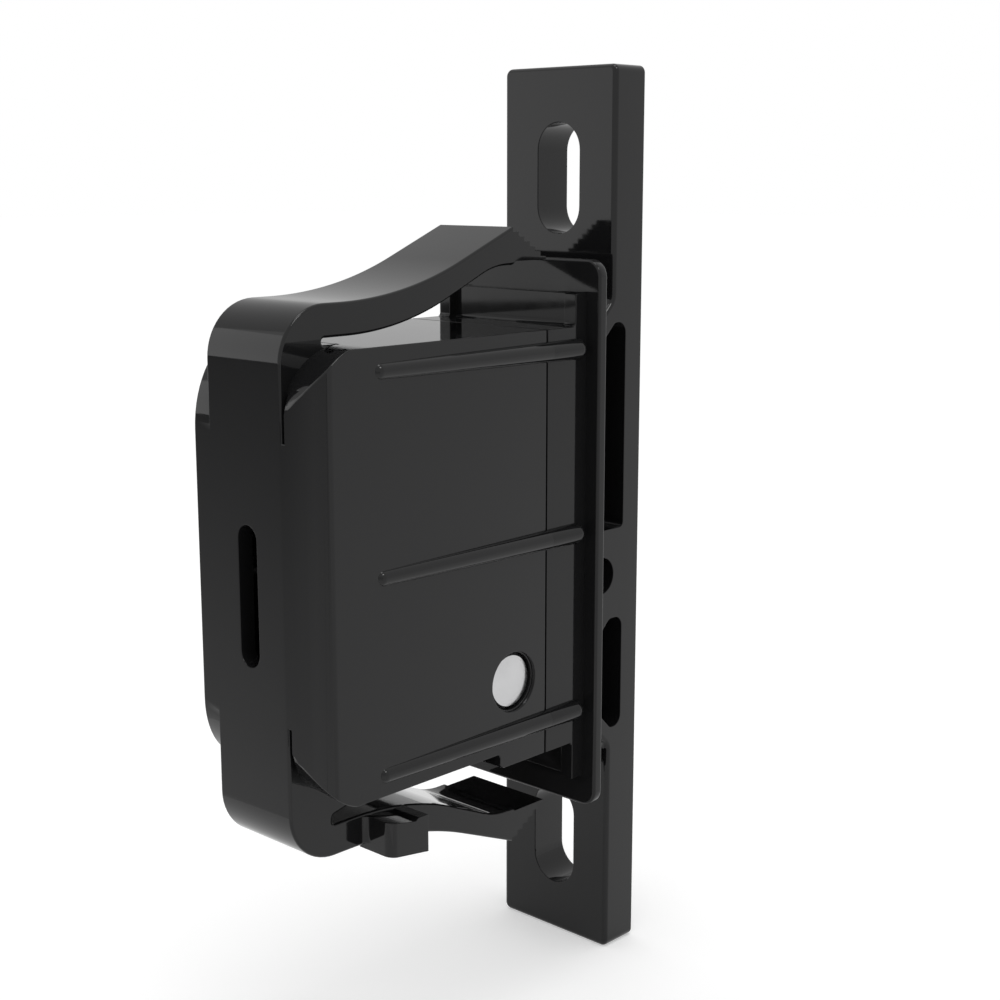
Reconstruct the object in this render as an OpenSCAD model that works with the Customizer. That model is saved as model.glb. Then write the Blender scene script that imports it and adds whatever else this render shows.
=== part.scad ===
/* [Keeper] */
// Length of the keeper bar
keeper_len = 100; // [96:1:130]
// Width of the keeper bar
keeper_w = 16; // [14:0.5:18]
// Thickness of the keeper bar
keeper_t = 5; // [4:0.5:8]
// Distance between the centres of the two screw slots
slot_pitch = 76.2; // [74:0.1:80]
// Width of a screw slot
slot_w = 6; // [4:0.5:7]
// Length of a screw slot from end to end
slot_len = 12; // [9:0.5:13]
// How far the raised block stands out of the keeper bar
block_rise = 5.25; // [4.5:0.25:7]
// Length of the flat front of the raised block
block_len = 40; // [36:1:44]
// Wall left round the pockets of the raised block
block_wall = 1.8; // [1.2:0.2:2.4]
// Thickness of the web between the near and the far pockets
block_web = 1.6; // [1:0.2:3]
// Height of the solid part of the block that holds the strike
socket_block_h = 10.3; // [9.5:0.1:12]

/* [Strike] */
// Distance of the strike pin below the middle of the bezel
strike_drop = 5.2; // [4:0.1:6.5]
// Height of the strike stem
stem_h = 7; // [6:0.5:7.5]
// Width of the strike stem
stem_w = 8; // [7:0.5:9]
// Thickness of one strike ear
ear_t = 2; // [1.5:0.25:2.5]
// Diameter of the strike pin between the ears
strike_pin_d = 3; // [2.5:0.25:3.5]
// Diameter of the pin that holds the strike in the keeper
retaining_pin_d = 4; // [3:0.25:4.5]
// Depth of the strike pin behind the seating plane of the bezel
strike_depth = 6.7; // [6:0.1:7.5]

/* [Bezel] */
// Width of the bezel flange
bezel_w = 23.4; // [22:0.2:28]
// Height of the bezel flange
bezel_h = 59.7; // [57:0.5:66]
// Thickness of the bezel flange
bezel_t = 1.3; // [1:0.1:2]
// Corner radius of the bezel flange
bezel_corner = 1.8; // [1:0.2:3]
// Height of the spigot that fits the panel cut-out
spigot_h = 52.8; // [50:0.4:56]
// Depth of the four corner posts of the spigot
post_depth = 1.8; // [1.2:0.2:2.4]
// Width of a corner post
post_w = 1.6; // [1.2:0.2:2]
// Depth of the cross bars between the posts
bar_depth = 0.85; // [0.6:0.05:1]
// Depth of the base walls, up to the parting line
base_depth = 6.1; // [5.5:0.1:8]
// Height of the base walls above the middle of the bezel
base_top = 23; // [22:0.2:24]
// Depth of the base walls below the middle of the bezel
base_low = 22.2; // [21.8:0.2:24]

/* [Housing] */
// Width of the housing over its side walls
housing_w = 20; // [19:0.5:21]
// Depth of the whole latch body behind the bezel
housing_depth = 37.5; // [36:0.5:44]
// Height of the housing top above the middle of the bezel
housing_top = 23; // [22:0.2:24]
// Distance of the housing floor below the middle of the bezel
housing_floor = 20.6; // [19.4:0.2:21]
// Thickness of the housing walls
wall = 1.8; // [1.4:0.1:2]
// Radius of the front corners of the housing, seen from the side
side_corner = 5.8; // [5:0.2:7]
// Radius of the larger corners on the far cheek
far_corner = 8.6; // [7.6:0.2:9]
// Half width of the flat front on the far cheek
far_flat = 7.6; // [7:0.1:8.4]
// Depth of the slope from the far side wall to the front
far_depth = 6; // [4:0.5:7]
// Width of the slit between the bow and the ends of the cheeks
cheek_slit = 0.32; // [0.2:0.02:0.4]
// Depth of the rounding from the side walls to the front
nose_depth = 2.3; // [1.8:0.1:3]
// Width of the rounding from the side walls to the front
nose_w = 5.35; // [4:0.25:6]
// Length of the deeper tab at the rear of the housing floor
tab_len = 7.1; // [6:0.1:9]
// Height of the long slot in the front wall
front_slot_h = 13.9; // [10:0.5:16]
// Width of the long slot in the front wall
front_slot_w = 2.75; // [2:0.25:4]
// Spacing of the three tapered ribs on each side
rib_pitch = 19.6; // [17:0.2:20]
// Length of a tapered rib
rib_len = 27.5; // [20:0.5:30]
// Radius of a tapered rib at its high end
rib_r = 1.1; // [0.8:0.1:1.3]
// Radius of a tapered rib at its low end
rib_low_r = 0.85; // [0.6:0.05:0.9]

/* [Snap arms] */
// Width of the bow that carries the snap arms
arm_w = 10.8; // [9:0.2:12]
// Height of the bow above the middle of the bezel
bow_top = 26.9; // [26.4:0.05:27.4]
// Depth of the bow below the middle of the bezel
bow_low = 27.2; // [26.6:0.05:27.6]
// Radius of the front corners of the bow
bow_corner = 5.5; // [4.5:0.25:6]
// Thickness of a snap arm at its root
arm_root_t = 3.24; // [2.9:0.02:3.4]
// Number of steps at the end of a snap arm
arm_steps = 6; // [4:1:8]
// Length of one step along the panel
step_run = 0.84; // [0.7:0.02:0.9]
// Height of one step
step_rise = 0.525; // [0.475:0.025:0.6]

/* [Mechanism] */
// Diameter of the main pivot pin
pivot_d = 6; // [5:0.25:6.5]
// Depth of the pivot pin behind the seating plane of the bezel
pivot_depth = 11.1; // [10.5:0.1:12]
// Height of the strike pin above the pivot pin
lever_h = 8; // [7.6:0.1:8.6]
// Thickness of the claw
claw_t = 5.6; // [4.5:0.1:6]
// Reach of the claw finger from its pivot
claw_reach = 12; // [11.5:0.1:12.4]
// Distance of the toggle pin from the pivot pin
toggle_r = 10; // [9.5:0.1:10.5]
// Diameter of the toggle pin
toggle_pin_d = 2.4; // [2:0.1:2.8]
// Diameter of the spring rod
rod_d = 3; // [2.4:0.1:3.4]
// Wire diameter of the toggle spring
wire_d = 0.9; // [0.6:0.1:1.1]
// Number of turns of the toggle spring
spring_turns = 6; // [4:1:7]
// Running clearance on the radius of every pin
fit = 0.05; // [0.02:0.01:0.08]
// Gap between pieces that move past each other
gap = 0.3; // [0.2:0.05:0.4]

/* [Hidden] */

arc_steps = 6;
nose_steps = 8;
curve_fn = 48;
seam = 0.2;
slip = 0.01;
half_w = housing_w / 2;
base_mid_z = (base_top - base_low) / 2;
base_h = base_top + base_low;
inner_half_w = half_w - wall;
parting_x = -base_depth;
front_x = -housing_depth;
cheek_top = 14.4;
cheek_low = 12.9;

// Tapered ribs on the sides
rib_mid_z = 1.1;
rib_end_x = -0.6 - rib_r;
rib_sink = rib_low_r - 0.45;

// Keeper places, measured from the seating plane of the bezel
closed_gap = 0.15;
block_x = bezel_t + closed_gap;
bar_x = block_x + block_rise;
bar_back_x = bar_x + keeper_t;
socket_top_z = socket_block_h / 2 - strike_drop;
socket_bottom_z = -socket_block_h / 2 - strike_drop;
pocket_back_x = bar_back_x - 2.8;
pocket_round = 1.2;
pocket_front_x = block_x + block_wall;
ramp_half_z = block_len / 2 + block_rise;
pocket_depth = (keeper_w - block_web) / 2;

// Strike places
strike_z = -strike_drop;
strike_x = -strike_depth;
ear_half_h = 2.3;
stem_front_x = -1;
stem_back_x = bar_back_x - 3;
retaining_x = (block_x + bar_back_x) / 2 - 1.3;
ear_inner = claw_t / 2 + 0.5;
ear_outer = ear_inner + ear_t;

// Pivot and claw places
pivot_x = -pivot_depth;
pivot_z = strike_z - lever_h;
pivot_r = pivot_d / 2;
bush_wall = 0.8;
bush_r = pivot_r + fit + bush_wall;
hub_r = bush_r + 0.85;
spacer_r = pivot_r + 1.2;
boss_r = pivot_r + 1.9;
boss_inner = 7;
strike_angle = atan2(strike_x - pivot_x, lever_h);
strike_reach = norm([strike_x - pivot_x, lever_h]);
notch_half = strike_pin_d / 2 + 0.45;
finger_t = 3.05;
toggle_pin_r = toggle_pin_d / 2;
toggle_boss_r = toggle_pin_r + 1.3;
toggle_angle = -56.5;
toggle_x = pivot_x + toggle_r * sin(toggle_angle);
toggle_z = pivot_z + toggle_r * cos(toggle_angle);

// Toggle strut places, the strut leans from the trunnion down to the toggle pin
trunnion_x = -28;
trunnion_z = 10;
strut_len = norm([trunnion_x - toggle_x, trunnion_z - toggle_z]);
strut_tilt = atan2(toggle_x - trunnion_x, trunnion_z - toggle_z);
plunge = 1.1;
rod_r = rod_d / 2;
stub_r = 1.8;
block_half_l = 2.5;
block_half_t = rod_r + 1.7;
block_half_w = 4.7;
stub_end = 6.6;
bearing_inner = 5;
bearing_r = stub_r + 1.6;
fork_play = 0.15;
fork_seat = toggle_pin_r + plunge + 0.1;
fork_base = toggle_boss_r + plunge + gap;
fork_base_t = 1.6;
prong_inner = claw_t / 2 + gap;
prong_t = 1.6;
prong_half_h = toggle_pin_r + 1.4;
prong_end = 1.5;
collar_t = 0.8;
collar_rim = 0.15;
spring_start = fork_base + fork_base_t + collar_t;
spring_r = rod_r + 1.15;
tail_len = 4;
clip_t = 0.8;
clip_place = 1.2;
clip_depth = 0.4;
clip_rim = 1;
clip_mouth = 1.6;

// Snap arm places
arm_root_x = -31;
arm_root_r = arm_root_t / 2;
root_gap = 0.06;
outer_sweep_x = -30;
outer_sweep_r = 42;
outer_slope = 22.7;
corner_x = -6.35;
inner_slope = 23.5;
inner_sweep_r = 34;
inner_end_r = 9;
inner_flat_x = -7.2;
tip_t = 0.35;
tip_lip = 0.4;

// Lug and ridge of the lower arm, measured from its outer face
lug_place = 3.1;
lug_len = 5.2;
lug_lean = 0.97;
lug_proud = 0.6;
lug_rise = 3;
lug_out = half_w - 1;
ridge_rise = 3.3;
ridge_len = 1;

function arc(cx, cz, r, a0, a1, n = arc_steps) =
  [for (i = [0:n]) let (a = a0 + (a1 - a0) * i / n) [cx + r * cos(a), cz + r * sin(a)]];

function unit(v) = v / norm(v);

// Points of the round that replaces one corner of an outline
function corner_round(p0, p1, p2, r) =
  let (
    u = unit(p0 - p1),
    w = unit(p2 - p1),
    half = acos(u * w) / 2,
    c = p1 + unit(u + w) * r / sin(half),
    s = p1 + u * r / tan(half) - c,
    e = p1 + w * r / tan(half) - c,
    a0 = atan2(s[1], s[0]),
    turn = atan2(e[1], e[0]) - a0,
    sweep = turn > 180 ? turn - 360 : turn < -180 ? turn + 360 : turn
  )
  r <= 0 ? [p1] : arc(c[0], c[1], r, a0, a0 + sweep);

// An outline with each corner rounded by its own radius
function rounded(points, radii) =
  let (n = len(points))
  [for (i = [0:n - 1]) each corner_round(points[(i + n - 1) % n], points[i], points[(i + 1) % n], radii[i])];

// Gives a side outline, drawn in x and z, a width along y
module slab(width, y_mid = 0) {
  translate([0, y_mid + width / 2, 0])
    rotate([90, 0, 0])
      linear_extrude(height = width) children();
}

// Gives a face outline, drawn in y and z, a thickness along x
module plate(x0, thickness) {
  translate([x0, 0, 0])
    rotate([90, 0, 90])
      linear_extrude(height = thickness) children();
}

// A round bar along y
module rod_y(r, length, x, z, y_mid = 0) {
  translate([x, y_mid, z])
    rotate([90, 0, 0])
      cylinder(r = r, h = length, center = true, $fn = curve_fn);
}

// A rectangle between two opposite corners
module rect(a0, b0, a1, b1) {
  translate([a0, b0]) square([a1 - a0, b1 - b0]);
}

// A rectangle with four round corners, centred on the origin
module round_rect(w, h, r) {
  square([w - 2 * r, h], center = true);
  square([w, h - 2 * r], center = true);
  for (a = [-1, 1], b = [-1, 1])
    translate([a * (w / 2 - r), b * (h / 2 - r)]) circle(r = r, $fn = curve_fn);
}

// A slot with round ends, upright, drawn in y and z
module slot_2d(w, h) {
  square([w, h - w], center = true);
  for (s = [-1, 1])
    translate([0, s * (h - w) / 2]) circle(r = w / 2, $fn = curve_fn);
}

// Runs its children in the frame of the toggle strut: origin at the trunnion, x down to the toggle pin
module strut_frame() {
  translate([trunnion_x, 0, trunnion_z])
    rotate([0, 90 - strut_tilt, 0]) children();
}

// Flange, spigot, base walls and the inner tongue that plugs into the cover
module bezel_frame() {
  mouth_w = 13;
  mouth_top = 2.5;
  mouth_bottom = pivot_z - 6.3;
  tongue_t = 1.1;
  tongue_len = 3;
  snug = half_w - wall - fit;
  tongue_h = base_h - 2 * (wall + fit);
  color("#161617") {
    difference() {
      plate(0, bezel_t) round_rect(bezel_w, bezel_h, bezel_corner);
      plate(-1, bezel_t + 2)
        translate([0, (mouth_top + mouth_bottom) / 2])
          round_rect(mouth_w, mouth_top - mouth_bottom, 1.5);
    }
    difference() {
      union() {
        plate(-base_depth, base_depth + slip)
          translate([0, base_mid_z]) square([housing_w, base_h], center = true);
        plate(-bar_depth, bar_depth + slip) square([housing_w, spigot_h], center = true);
        for (s = [-1, 1])
          plate(-post_depth, post_depth + slip)
            translate([s * (half_w - post_w / 2), 0]) square([post_w, spigot_h], center = true);
        plate(parting_x - tongue_len, tongue_len + slip)
          translate([0, base_mid_z]) square([2 * snug, tongue_h], center = true);
        for (side = [-1, 1], row = [-1, 0, 1])
          rib_end(side, row);
      }
      plate(parting_x - tongue_len - 1, base_depth + tongue_len + 2)
        translate([0, base_mid_z]) square([2 * (snug - tongue_t), tongue_h - 2 * tongue_t], center = true);
      rod_y(boss_r + gap, 2 * snug + 1, pivot_x, pivot_z);
    }
  }
}

// One whole tapered rib on a side wall, high at the bezel end and sinking into the wall at the other
module whole_rib(side, row) {
  translate([rib_end_x, side * half_w, rib_mid_z + row * rib_pitch])
    rotate([0, 0, side * atan2(rib_sink, rib_len)]) {
      rotate([0, -90, 0])
        cylinder(r1 = rib_r, r2 = rib_low_r, h = rib_len, $fn = curve_fn);
      sphere(r = rib_r, $fn = curve_fn);
      translate([-rib_len, 0, 0]) sphere(r = rib_low_r, $fn = curve_fn);
    }
}

// The stretch of a rib that lies on the base walls
module rib_end(side, row) {
  intersection() {
    whole_rib(side, row);
    translate([parting_x, -housing_w, -spigot_h / 2]) cube([base_depth, 2 * housing_w, spigot_h]);
  }
}

// The stretch of a rib that lies on the cover
module rib_start(side, row) {
  intersection() {
    whole_rib(side, row);
    translate([front_x, -housing_w, -spigot_h / 2])
      cube([housing_depth - base_depth - seam, 2 * housing_w, spigot_h]);
  }
}

// Plan outline of the housing in x and y: sloped towards the front on the far side, round on the near side
function plan_outline(inset) =
  let (
    w = half_w - inset,
    x0 = front_x + inset,
    d = nose_depth,
    b = nose_w - inset / 2,
    rear = parting_x - seam
  )
  concat(
    [[rear, w], [x0 + far_depth - 0.8 * inset, w], [x0, far_flat - 0.7 * inset]],
    [for (i = [nose_steps:-1:0]) let (a = i * 90 / nose_steps) [x0 + d * (1 - sin(a)), b - w - b * cos(a)]],
    [[rear, -w]]
  );

// Side outline of the housing, drawn in x and z
module housing_side(inset, r) {
  x0 = front_x + inset;
  rear = parting_x - seam + (inset > 0 ? 1 : 0);
  top = housing_top - inset;
  low = housing_floor - inset;
  tab_low = base_low - inset;
  tab_x = parting_x - tab_len + inset;
  polygon(rounded(
    [[x0, top], [rear, top], [rear, -tab_low], [tab_x, -tab_low], [tab_x, -low], [x0, -low]],
    [r, 0, 0, 0.7, 0.4, r]
  ));
}

// Takes a corner of the far cheek back to its larger round
module far_corner_cut(flat_z, r) {
  reach = half_w - arm_w / 2 + 1;
  slab(reach, arm_w / 2 + reach / 2)
    translate([front_x + r, flat_z - r])
      difference() {
        rect(-r - 1, 0, 0, r + 1);
        circle(r = r, $fn = 64);
      }
}

// Slit between the bow and the end of a cheek, from its start outwards
module cheek_slit_cut(start_z) {
  for (s = [-1, 1])
    translate([front_x - 1, s * (arm_w + cheek_slit) / 2 - cheek_slit / 2, start_z])
      cube([1.9, cheek_slit, side_corner + 2]);
}

// Housing cover: side walls, front wall with the slot, bow corners, bearings and pivot bosses
module housing_cover() {
  bow_back_x = arm_root_x - 0.9;
  mid_z = -0.9;
  color("#161617") {
    difference() {
      union() {
        difference() {
          union() {
            difference() {
              intersection() {
                slab(housing_w + 1) housing_side(0, side_corner);
                translate([0, 0, -spigot_h / 2])
                  linear_extrude(height = spigot_h) polygon(plan_outline(0));
              }
              far_corner_cut(housing_top, far_corner);
              mirror([0, 0, 1]) far_corner_cut(housing_floor, far_corner - 0.6);
              cheek_slit_cut(cheek_top);
              mirror([0, 0, 1]) cheek_slit_cut(cheek_low);
            }
            slab(arm_w)
              difference() {
                polygon(rounded(
                  [[front_x, bow_top], [bow_back_x, bow_top],
                   [bow_back_x, -bow_low], [front_x, -bow_low]],
                  [bow_corner, 0, 0, bow_corner]
                ));
                for (z = [bow_top - arm_root_r, arm_root_r - bow_low])
                  translate([arm_root_x, z]) circle(r = arm_root_r + root_gap, $fn = curve_fn);
              }
            for (side = [-1, 1], row = [-1, 0, 1])
              rib_start(side, row);
          }
          intersection() {
            slab(2 * inner_half_w) housing_side(wall, far_corner - 1);
            translate([0, 0, -spigot_h / 2])
              linear_extrude(height = spigot_h) polygon(plan_outline_open(wall));
          }
        }
        for (s = [-1, 1]) {
          rod_y(boss_r, half_w - 0.5 - boss_inner, pivot_x, pivot_z, s * (half_w - 0.5 + boss_inner) / 2);
          rod_y(bearing_r, half_w - 0.5 - bearing_inner, trunnion_x, trunnion_z,
                s * (half_w - 0.5 + bearing_inner) / 2);
        }
      }
      rod_y(pivot_r + fit, housing_w + 4, pivot_x, pivot_z);
      for (s = [-1, 1]) {
        rod_y(pivot_r + 0.2, 1, pivot_x, pivot_z, s * (half_w + 0.1));
        rod_y(stub_r + fit, stub_end + 0.2 - bearing_inner + 1, trunnion_x, trunnion_z,
              s * (stub_end + 0.2 + bearing_inner - 1) / 2);
        translate([trunnion_x, s * (stub_end + 0.2 + bearing_inner - 1) / 2 -
                   (stub_end + 1.2 - bearing_inner) / 2, trunnion_z - stub_r - fit])
          cube([bearing_r + 1, stub_end + 1.2 - bearing_inner, 2 * (stub_r + fit)]);
      }
      plate(front_x - 1, wall + 2)
        translate([0, mid_z]) slot_2d(front_slot_w, front_slot_h);
    }
  }
}

// Plan outline of the hollow, open past the parting line
function plan_outline_open(inset) =
  [for (p = plan_outline(inset)) [p[0] > parting_x - seam - 0.01 ? parting_x + 1 : p[0], p[1]]];

// Side outline of a snap arm whose outer face starts at outer_z, drawn in x and z
function arm_outline(outer_z) =
  let (
    sweep_end_x = outer_sweep_x + outer_sweep_r * sin(outer_slope),
    sweep_end_z = outer_z + outer_sweep_r * (1 - cos(outer_slope)),
    corner_z = sweep_end_z + (corner_x - sweep_end_x) * tan(outer_slope),
    tip_z = corner_z - arm_steps * step_rise,
    flat_z = tip_z - tip_t - tip_lip,
    dip_x = inner_flat_x - inner_end_r * sin(inner_slope),
    dip_z = flat_z - inner_end_r * (1 - cos(inner_slope)),
    root_z = outer_z - arm_root_t,
    rise = inner_sweep_r * (1 - cos(inner_slope)),
    join_z = root_z + rise,
    join_x = dip_x - (dip_z - join_z) / tan(inner_slope)
  )
  concat(
    [[arm_root_x, outer_z]],
    arc(outer_sweep_x, outer_z + outer_sweep_r, outer_sweep_r, -90, -90 + outer_slope),
    [[corner_x, corner_z]],
    [for (i = [0:arm_steps - 1]) each [
      [corner_x + i * step_run, corner_z - (i + 1) * step_rise],
      [corner_x + (i + 1) * step_run, corner_z - (i + 1) * step_rise]
    ]],
    [[corner_x + arm_steps * step_run, tip_z - tip_t], [corner_x + 0.35, tip_z - tip_t],
     [corner_x - 0.05, flat_z]],
    arc(inner_flat_x, flat_z - inner_end_r, inner_end_r, 90, 90 + inner_slope),
    arc(join_x - inner_sweep_r * sin(inner_slope), root_z + inner_sweep_r, inner_sweep_r,
        -90 + inner_slope, -90),
    [[arm_root_x, root_z]]
  );

module snap_arm(outer_z) {
  slab(arm_w) polygon(arm_outline(outer_z));
  rod_y(arm_root_r, arm_w, arm_root_x, outer_z - arm_root_r);
}

module upper_snap_arm() {
  color("#161617") snap_arm(bow_top);
}

// Lower arm, with the square lug on its near side and the low ridge across it
module lower_snap_arm() {
  lug_x0 = arm_root_x + lug_place;
  lug_x1 = lug_x0 + lug_len;
  lug_low = -bow_low - lug_proud;
  lug_top = lug_rise - bow_low;
  lug_end_top = lug_top - lug_lean;
  lug_in = arm_w / 2 - 1;
  ridge_in = arm_w / 2 - 2;
  color("#161617") {
    mirror([0, 0, 1]) snap_arm(bow_low);
    slab(lug_out - lug_in, -(lug_out + lug_in) / 2)
      polygon(rounded([[lug_x0, lug_low], [lug_x1, lug_low - 0.8 * lug_lean], [lug_x1, lug_end_top], [lug_x0, lug_top]],
                      [0.5, 0.3, 0.3, 0.5]));
    slab(lug_out - ridge_in, -(lug_out + ridge_in) / 2)
      rect(lug_x1 - ridge_len, lug_end_top - 1, lug_x1, ridge_rise - bow_low);
  }
}

// Steel pivot pin, seen in the hole of the side wall
module pivot_pin() {
  pin_half = half_w - 0.35;
  chamfer = 0.4;
  color("#c9cacc")
    translate([pivot_x, 0, pivot_z])
      rotate([90, 0, 0])
        rotate_extrude($fn = 64)
          polygon([[0, -pin_half], [pivot_r - chamfer, -pin_half], [pivot_r, -pin_half + chamfer],
                   [pivot_r, pin_half - chamfer], [pivot_r - chamfer, pin_half], [0, pin_half]]);
}

// Tube that keeps the claw away from a side wall
module spacer(side) {
  inner = claw_t / 2 + fit;
  outer = boss_inner - fit;
  difference() {
    rod_y(spacer_r, outer - inner, pivot_x, pivot_z, side * (outer + inner) / 2);
    rod_y(pivot_r + fit, housing_w, pivot_x, pivot_z);
  }
}

module near_spacer() {
  color("#d8d5cb") spacer(-1);
}

module far_spacer() {
  color("#d8d5cb") spacer(1);
}

// Claw: finger in front of the strike pin, shorter jaw behind it, and the tail for the toggle pin
module claw() {
  notch_floor = strike_reach - strike_pin_d / 2 - 0.35;
  jaw_reach = claw_reach - 1;
  head_low = 1.5;
  color("#3c3f44")
    difference() {
      slab(claw_t)
        translate([pivot_x, pivot_z])
          difference() {
            union() {
              circle(r = hub_r, $fn = curve_fn);
              rotate(-strike_angle) {
                intersection() {
                  rect(0, 0, notch_half + finger_t, claw_reach + 1);
                  circle(r = claw_reach, $fn = curve_fn);
                }
                intersection() {
                  rect(-notch_half - finger_t, head_low, 0, jaw_reach + 1);
                  circle(r = jaw_reach, $fn = curve_fn);
                }
              }
              rotate(-toggle_angle) {
                translate([0, toggle_r / 2]) square([2 * toggle_boss_r, toggle_r], center = true);
                translate([0, toggle_r]) circle(r = toggle_boss_r, $fn = curve_fn);
              }
            }
            rotate(-strike_angle) {
              translate([0, notch_floor + notch_half]) circle(r = notch_half, $fn = curve_fn);
              rect(-notch_half, notch_floor + notch_half, notch_half, claw_reach + 2);
            }
          }
      rod_y(bush_r, claw_t + 2, pivot_x, pivot_z);
      rod_y(toggle_pin_r + slip, claw_t + 2, toggle_x, toggle_z);
    }
}

// Plain bush in the claw, running on the pivot pin
module claw_bush() {
  color("#b08d4f")
    difference() {
      rod_y(bush_r, claw_t, pivot_x, pivot_z);
      rod_y(pivot_r + fit, claw_t + 2, pivot_x, pivot_z);
    }
}

// Cross pin in the claw tail that the fork of the spring rod pushes on
module toggle_pin() {
  color("#c9cacc") rod_y(toggle_pin_r, 2 * (prong_inner + prong_t + 0.2), toggle_x, toggle_z);
}

// Swivelling block that the spring rod slides through
module trunnion() {
  color("#d8d5cb")
    strut_frame()
      difference() {
        union() {
          cube([2 * block_half_l, 2 * block_half_w, 2 * block_half_t], center = true);
          rotate([90, 0, 0]) cylinder(r = stub_r, h = 2 * stub_end, center = true, $fn = curve_fn);
        }
        rotate([0, 90, 0]) cylinder(r = rod_r + fit, h = 4 * block_half_t, center = true, $fn = curve_fn);
      }
}

// Guide rod with the fork that straddles the claw tail
module spring_rod() {
  fork_w = prong_inner + prong_t;
  base_x = strut_len - fork_base - fork_base_t;
  color("#c9cacc")
    strut_frame()
      difference() {
        union() {
          translate([-block_half_l - tail_len, 0, 0])
            rotate([0, 90, 0])
              cylinder(r = rod_r, h = base_x + 0.5 + block_half_l + tail_len, $fn = curve_fn);
          translate([base_x, -fork_w, -prong_half_h])
            cube([fork_base_t, 2 * fork_w, 2 * prong_half_h]);
          for (s = [-1, 1])
            translate([base_x, s * (prong_inner + prong_t / 2) - prong_t / 2, -prong_half_h])
              cube([fork_base + fork_base_t + prong_end, prong_t, 2 * prong_half_h]);
        }
        translate([strut_len - fork_seat + toggle_pin_r + fork_play, 0, 0])
          rotate([90, 0, 0])
            cylinder(r = toggle_pin_r + fork_play, h = 2 * fork_w + 2, center = true, $fn = curve_fn);
        translate([strut_len - fork_seat + toggle_pin_r + fork_play, -fork_w - 1, -toggle_pin_r - fork_play])
          cube([fork_seat + prong_end + 1, 2 * fork_w + 2, 2 * (toggle_pin_r + fork_play)]);
        translate([-block_half_l - clip_place - clip_t, 0, 0]) clip_groove();
      }
}

// Groove in the rod tail for the clip
module clip_groove() {
  rotate([0, 90, 0])
    difference() {
      cylinder(r = rod_r + clip_rim, h = clip_t, $fn = curve_fn);
      translate([0, 0, -1]) cylinder(r = rod_r - clip_depth, h = clip_t + 2, $fn = curve_fn);
    }
}

// Collar that the spring pushes on, seated on the fork
module spring_collar() {
  color("#c9cacc")
    strut_frame()
      translate([strut_len - spring_start, 0, 0])
        rotate([0, 90, 0])
          difference() {
            cylinder(r = spring_r + wire_d / 2 + collar_rim, h = collar_t - slip, $fn = curve_fn);
            translate([0, 0, -1]) cylinder(r = rod_r + fit, h = collar_t + 2, $fn = curve_fn);
          }
}

// Open clip in the groove of the rod tail
module rod_clip() {
  color("#8f9298")
    strut_frame()
      translate([-block_half_l - clip_place - clip_t + fit, 0, 0])
        rotate([0, 90, 0])
          difference() {
            cylinder(r = rod_r + clip_rim, h = clip_t - 2 * fit, $fn = curve_fn);
            translate([0, 0, -1]) cylinder(r = rod_r - clip_depth + slip, h = clip_t + 2, $fn = curve_fn);
            translate([0, -clip_mouth / 2, -1]) cube([rod_r + clip_rim + 1, clip_mouth, clip_t + 2]);
          }
}

// Ring of points round the spring wire at one place along the helix
function wire_ring(a, x, sides) =
  [for (k = [0:sides - 1])
    let (b = 360 * k / sides, r = spring_r + wire_d / 2 * cos(b))
    [x + wire_d / 2 * sin(b), r * cos(a), r * sin(a)]];

// Compression spring between the trunnion and the collar, one helical tube
module toggle_spring() {
  sides = 6;
  per_turn = 8;
  rings = spring_turns * per_turn;
  from_x = block_half_l + wire_d / 2 + fit;
  to_x = strut_len - spring_start - wire_d / 2 - fit;
  points = [for (i = [0:rings]) each wire_ring(360 * i / per_turn, from_x + (to_x - from_x) * i / rings, sides)];
  last = rings * sides;
  faces = concat(
    [for (k = [1:sides - 2]) [0, k + 1, k]],
    [for (k = [1:sides - 2]) [last, last + k, last + k + 1]],
    [for (i = [0:rings - 1], k = [0:sides - 1], t = [0, 1])
      let (p = i * sides + k, q = i * sides + (k + 1) % sides)
      t == 0 ? [p, q, q + sides] : [p, q + sides, p + sides]]
  );
  color("#9aa0a6") strut_frame() polyhedron(points = points, faces = faces);
}

// Pocket outlines of the keeper, drawn in x and z
function upper_pocket() =
  let (top = ramp_half_z - 2.5)
  [[pocket_back_x, socket_top_z], [pocket_back_x, top], [pocket_back_x - 1.8, top],
   [pocket_front_x, top - (pocket_back_x - 1.8 - pocket_front_x)], [pocket_front_x, socket_top_z]];

function lower_pocket() =
  let (low = -ramp_half_z + 2.1, chamfer = 3.5)
  [[pocket_back_x, low], [pocket_back_x, socket_bottom_z], [pocket_front_x + chamfer, socket_bottom_z],
   [pocket_front_x, socket_bottom_z - chamfer], [pocket_front_x, low + pocket_back_x - 1.8 - pocket_front_x],
   [pocket_back_x - 1.8, low]];

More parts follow.
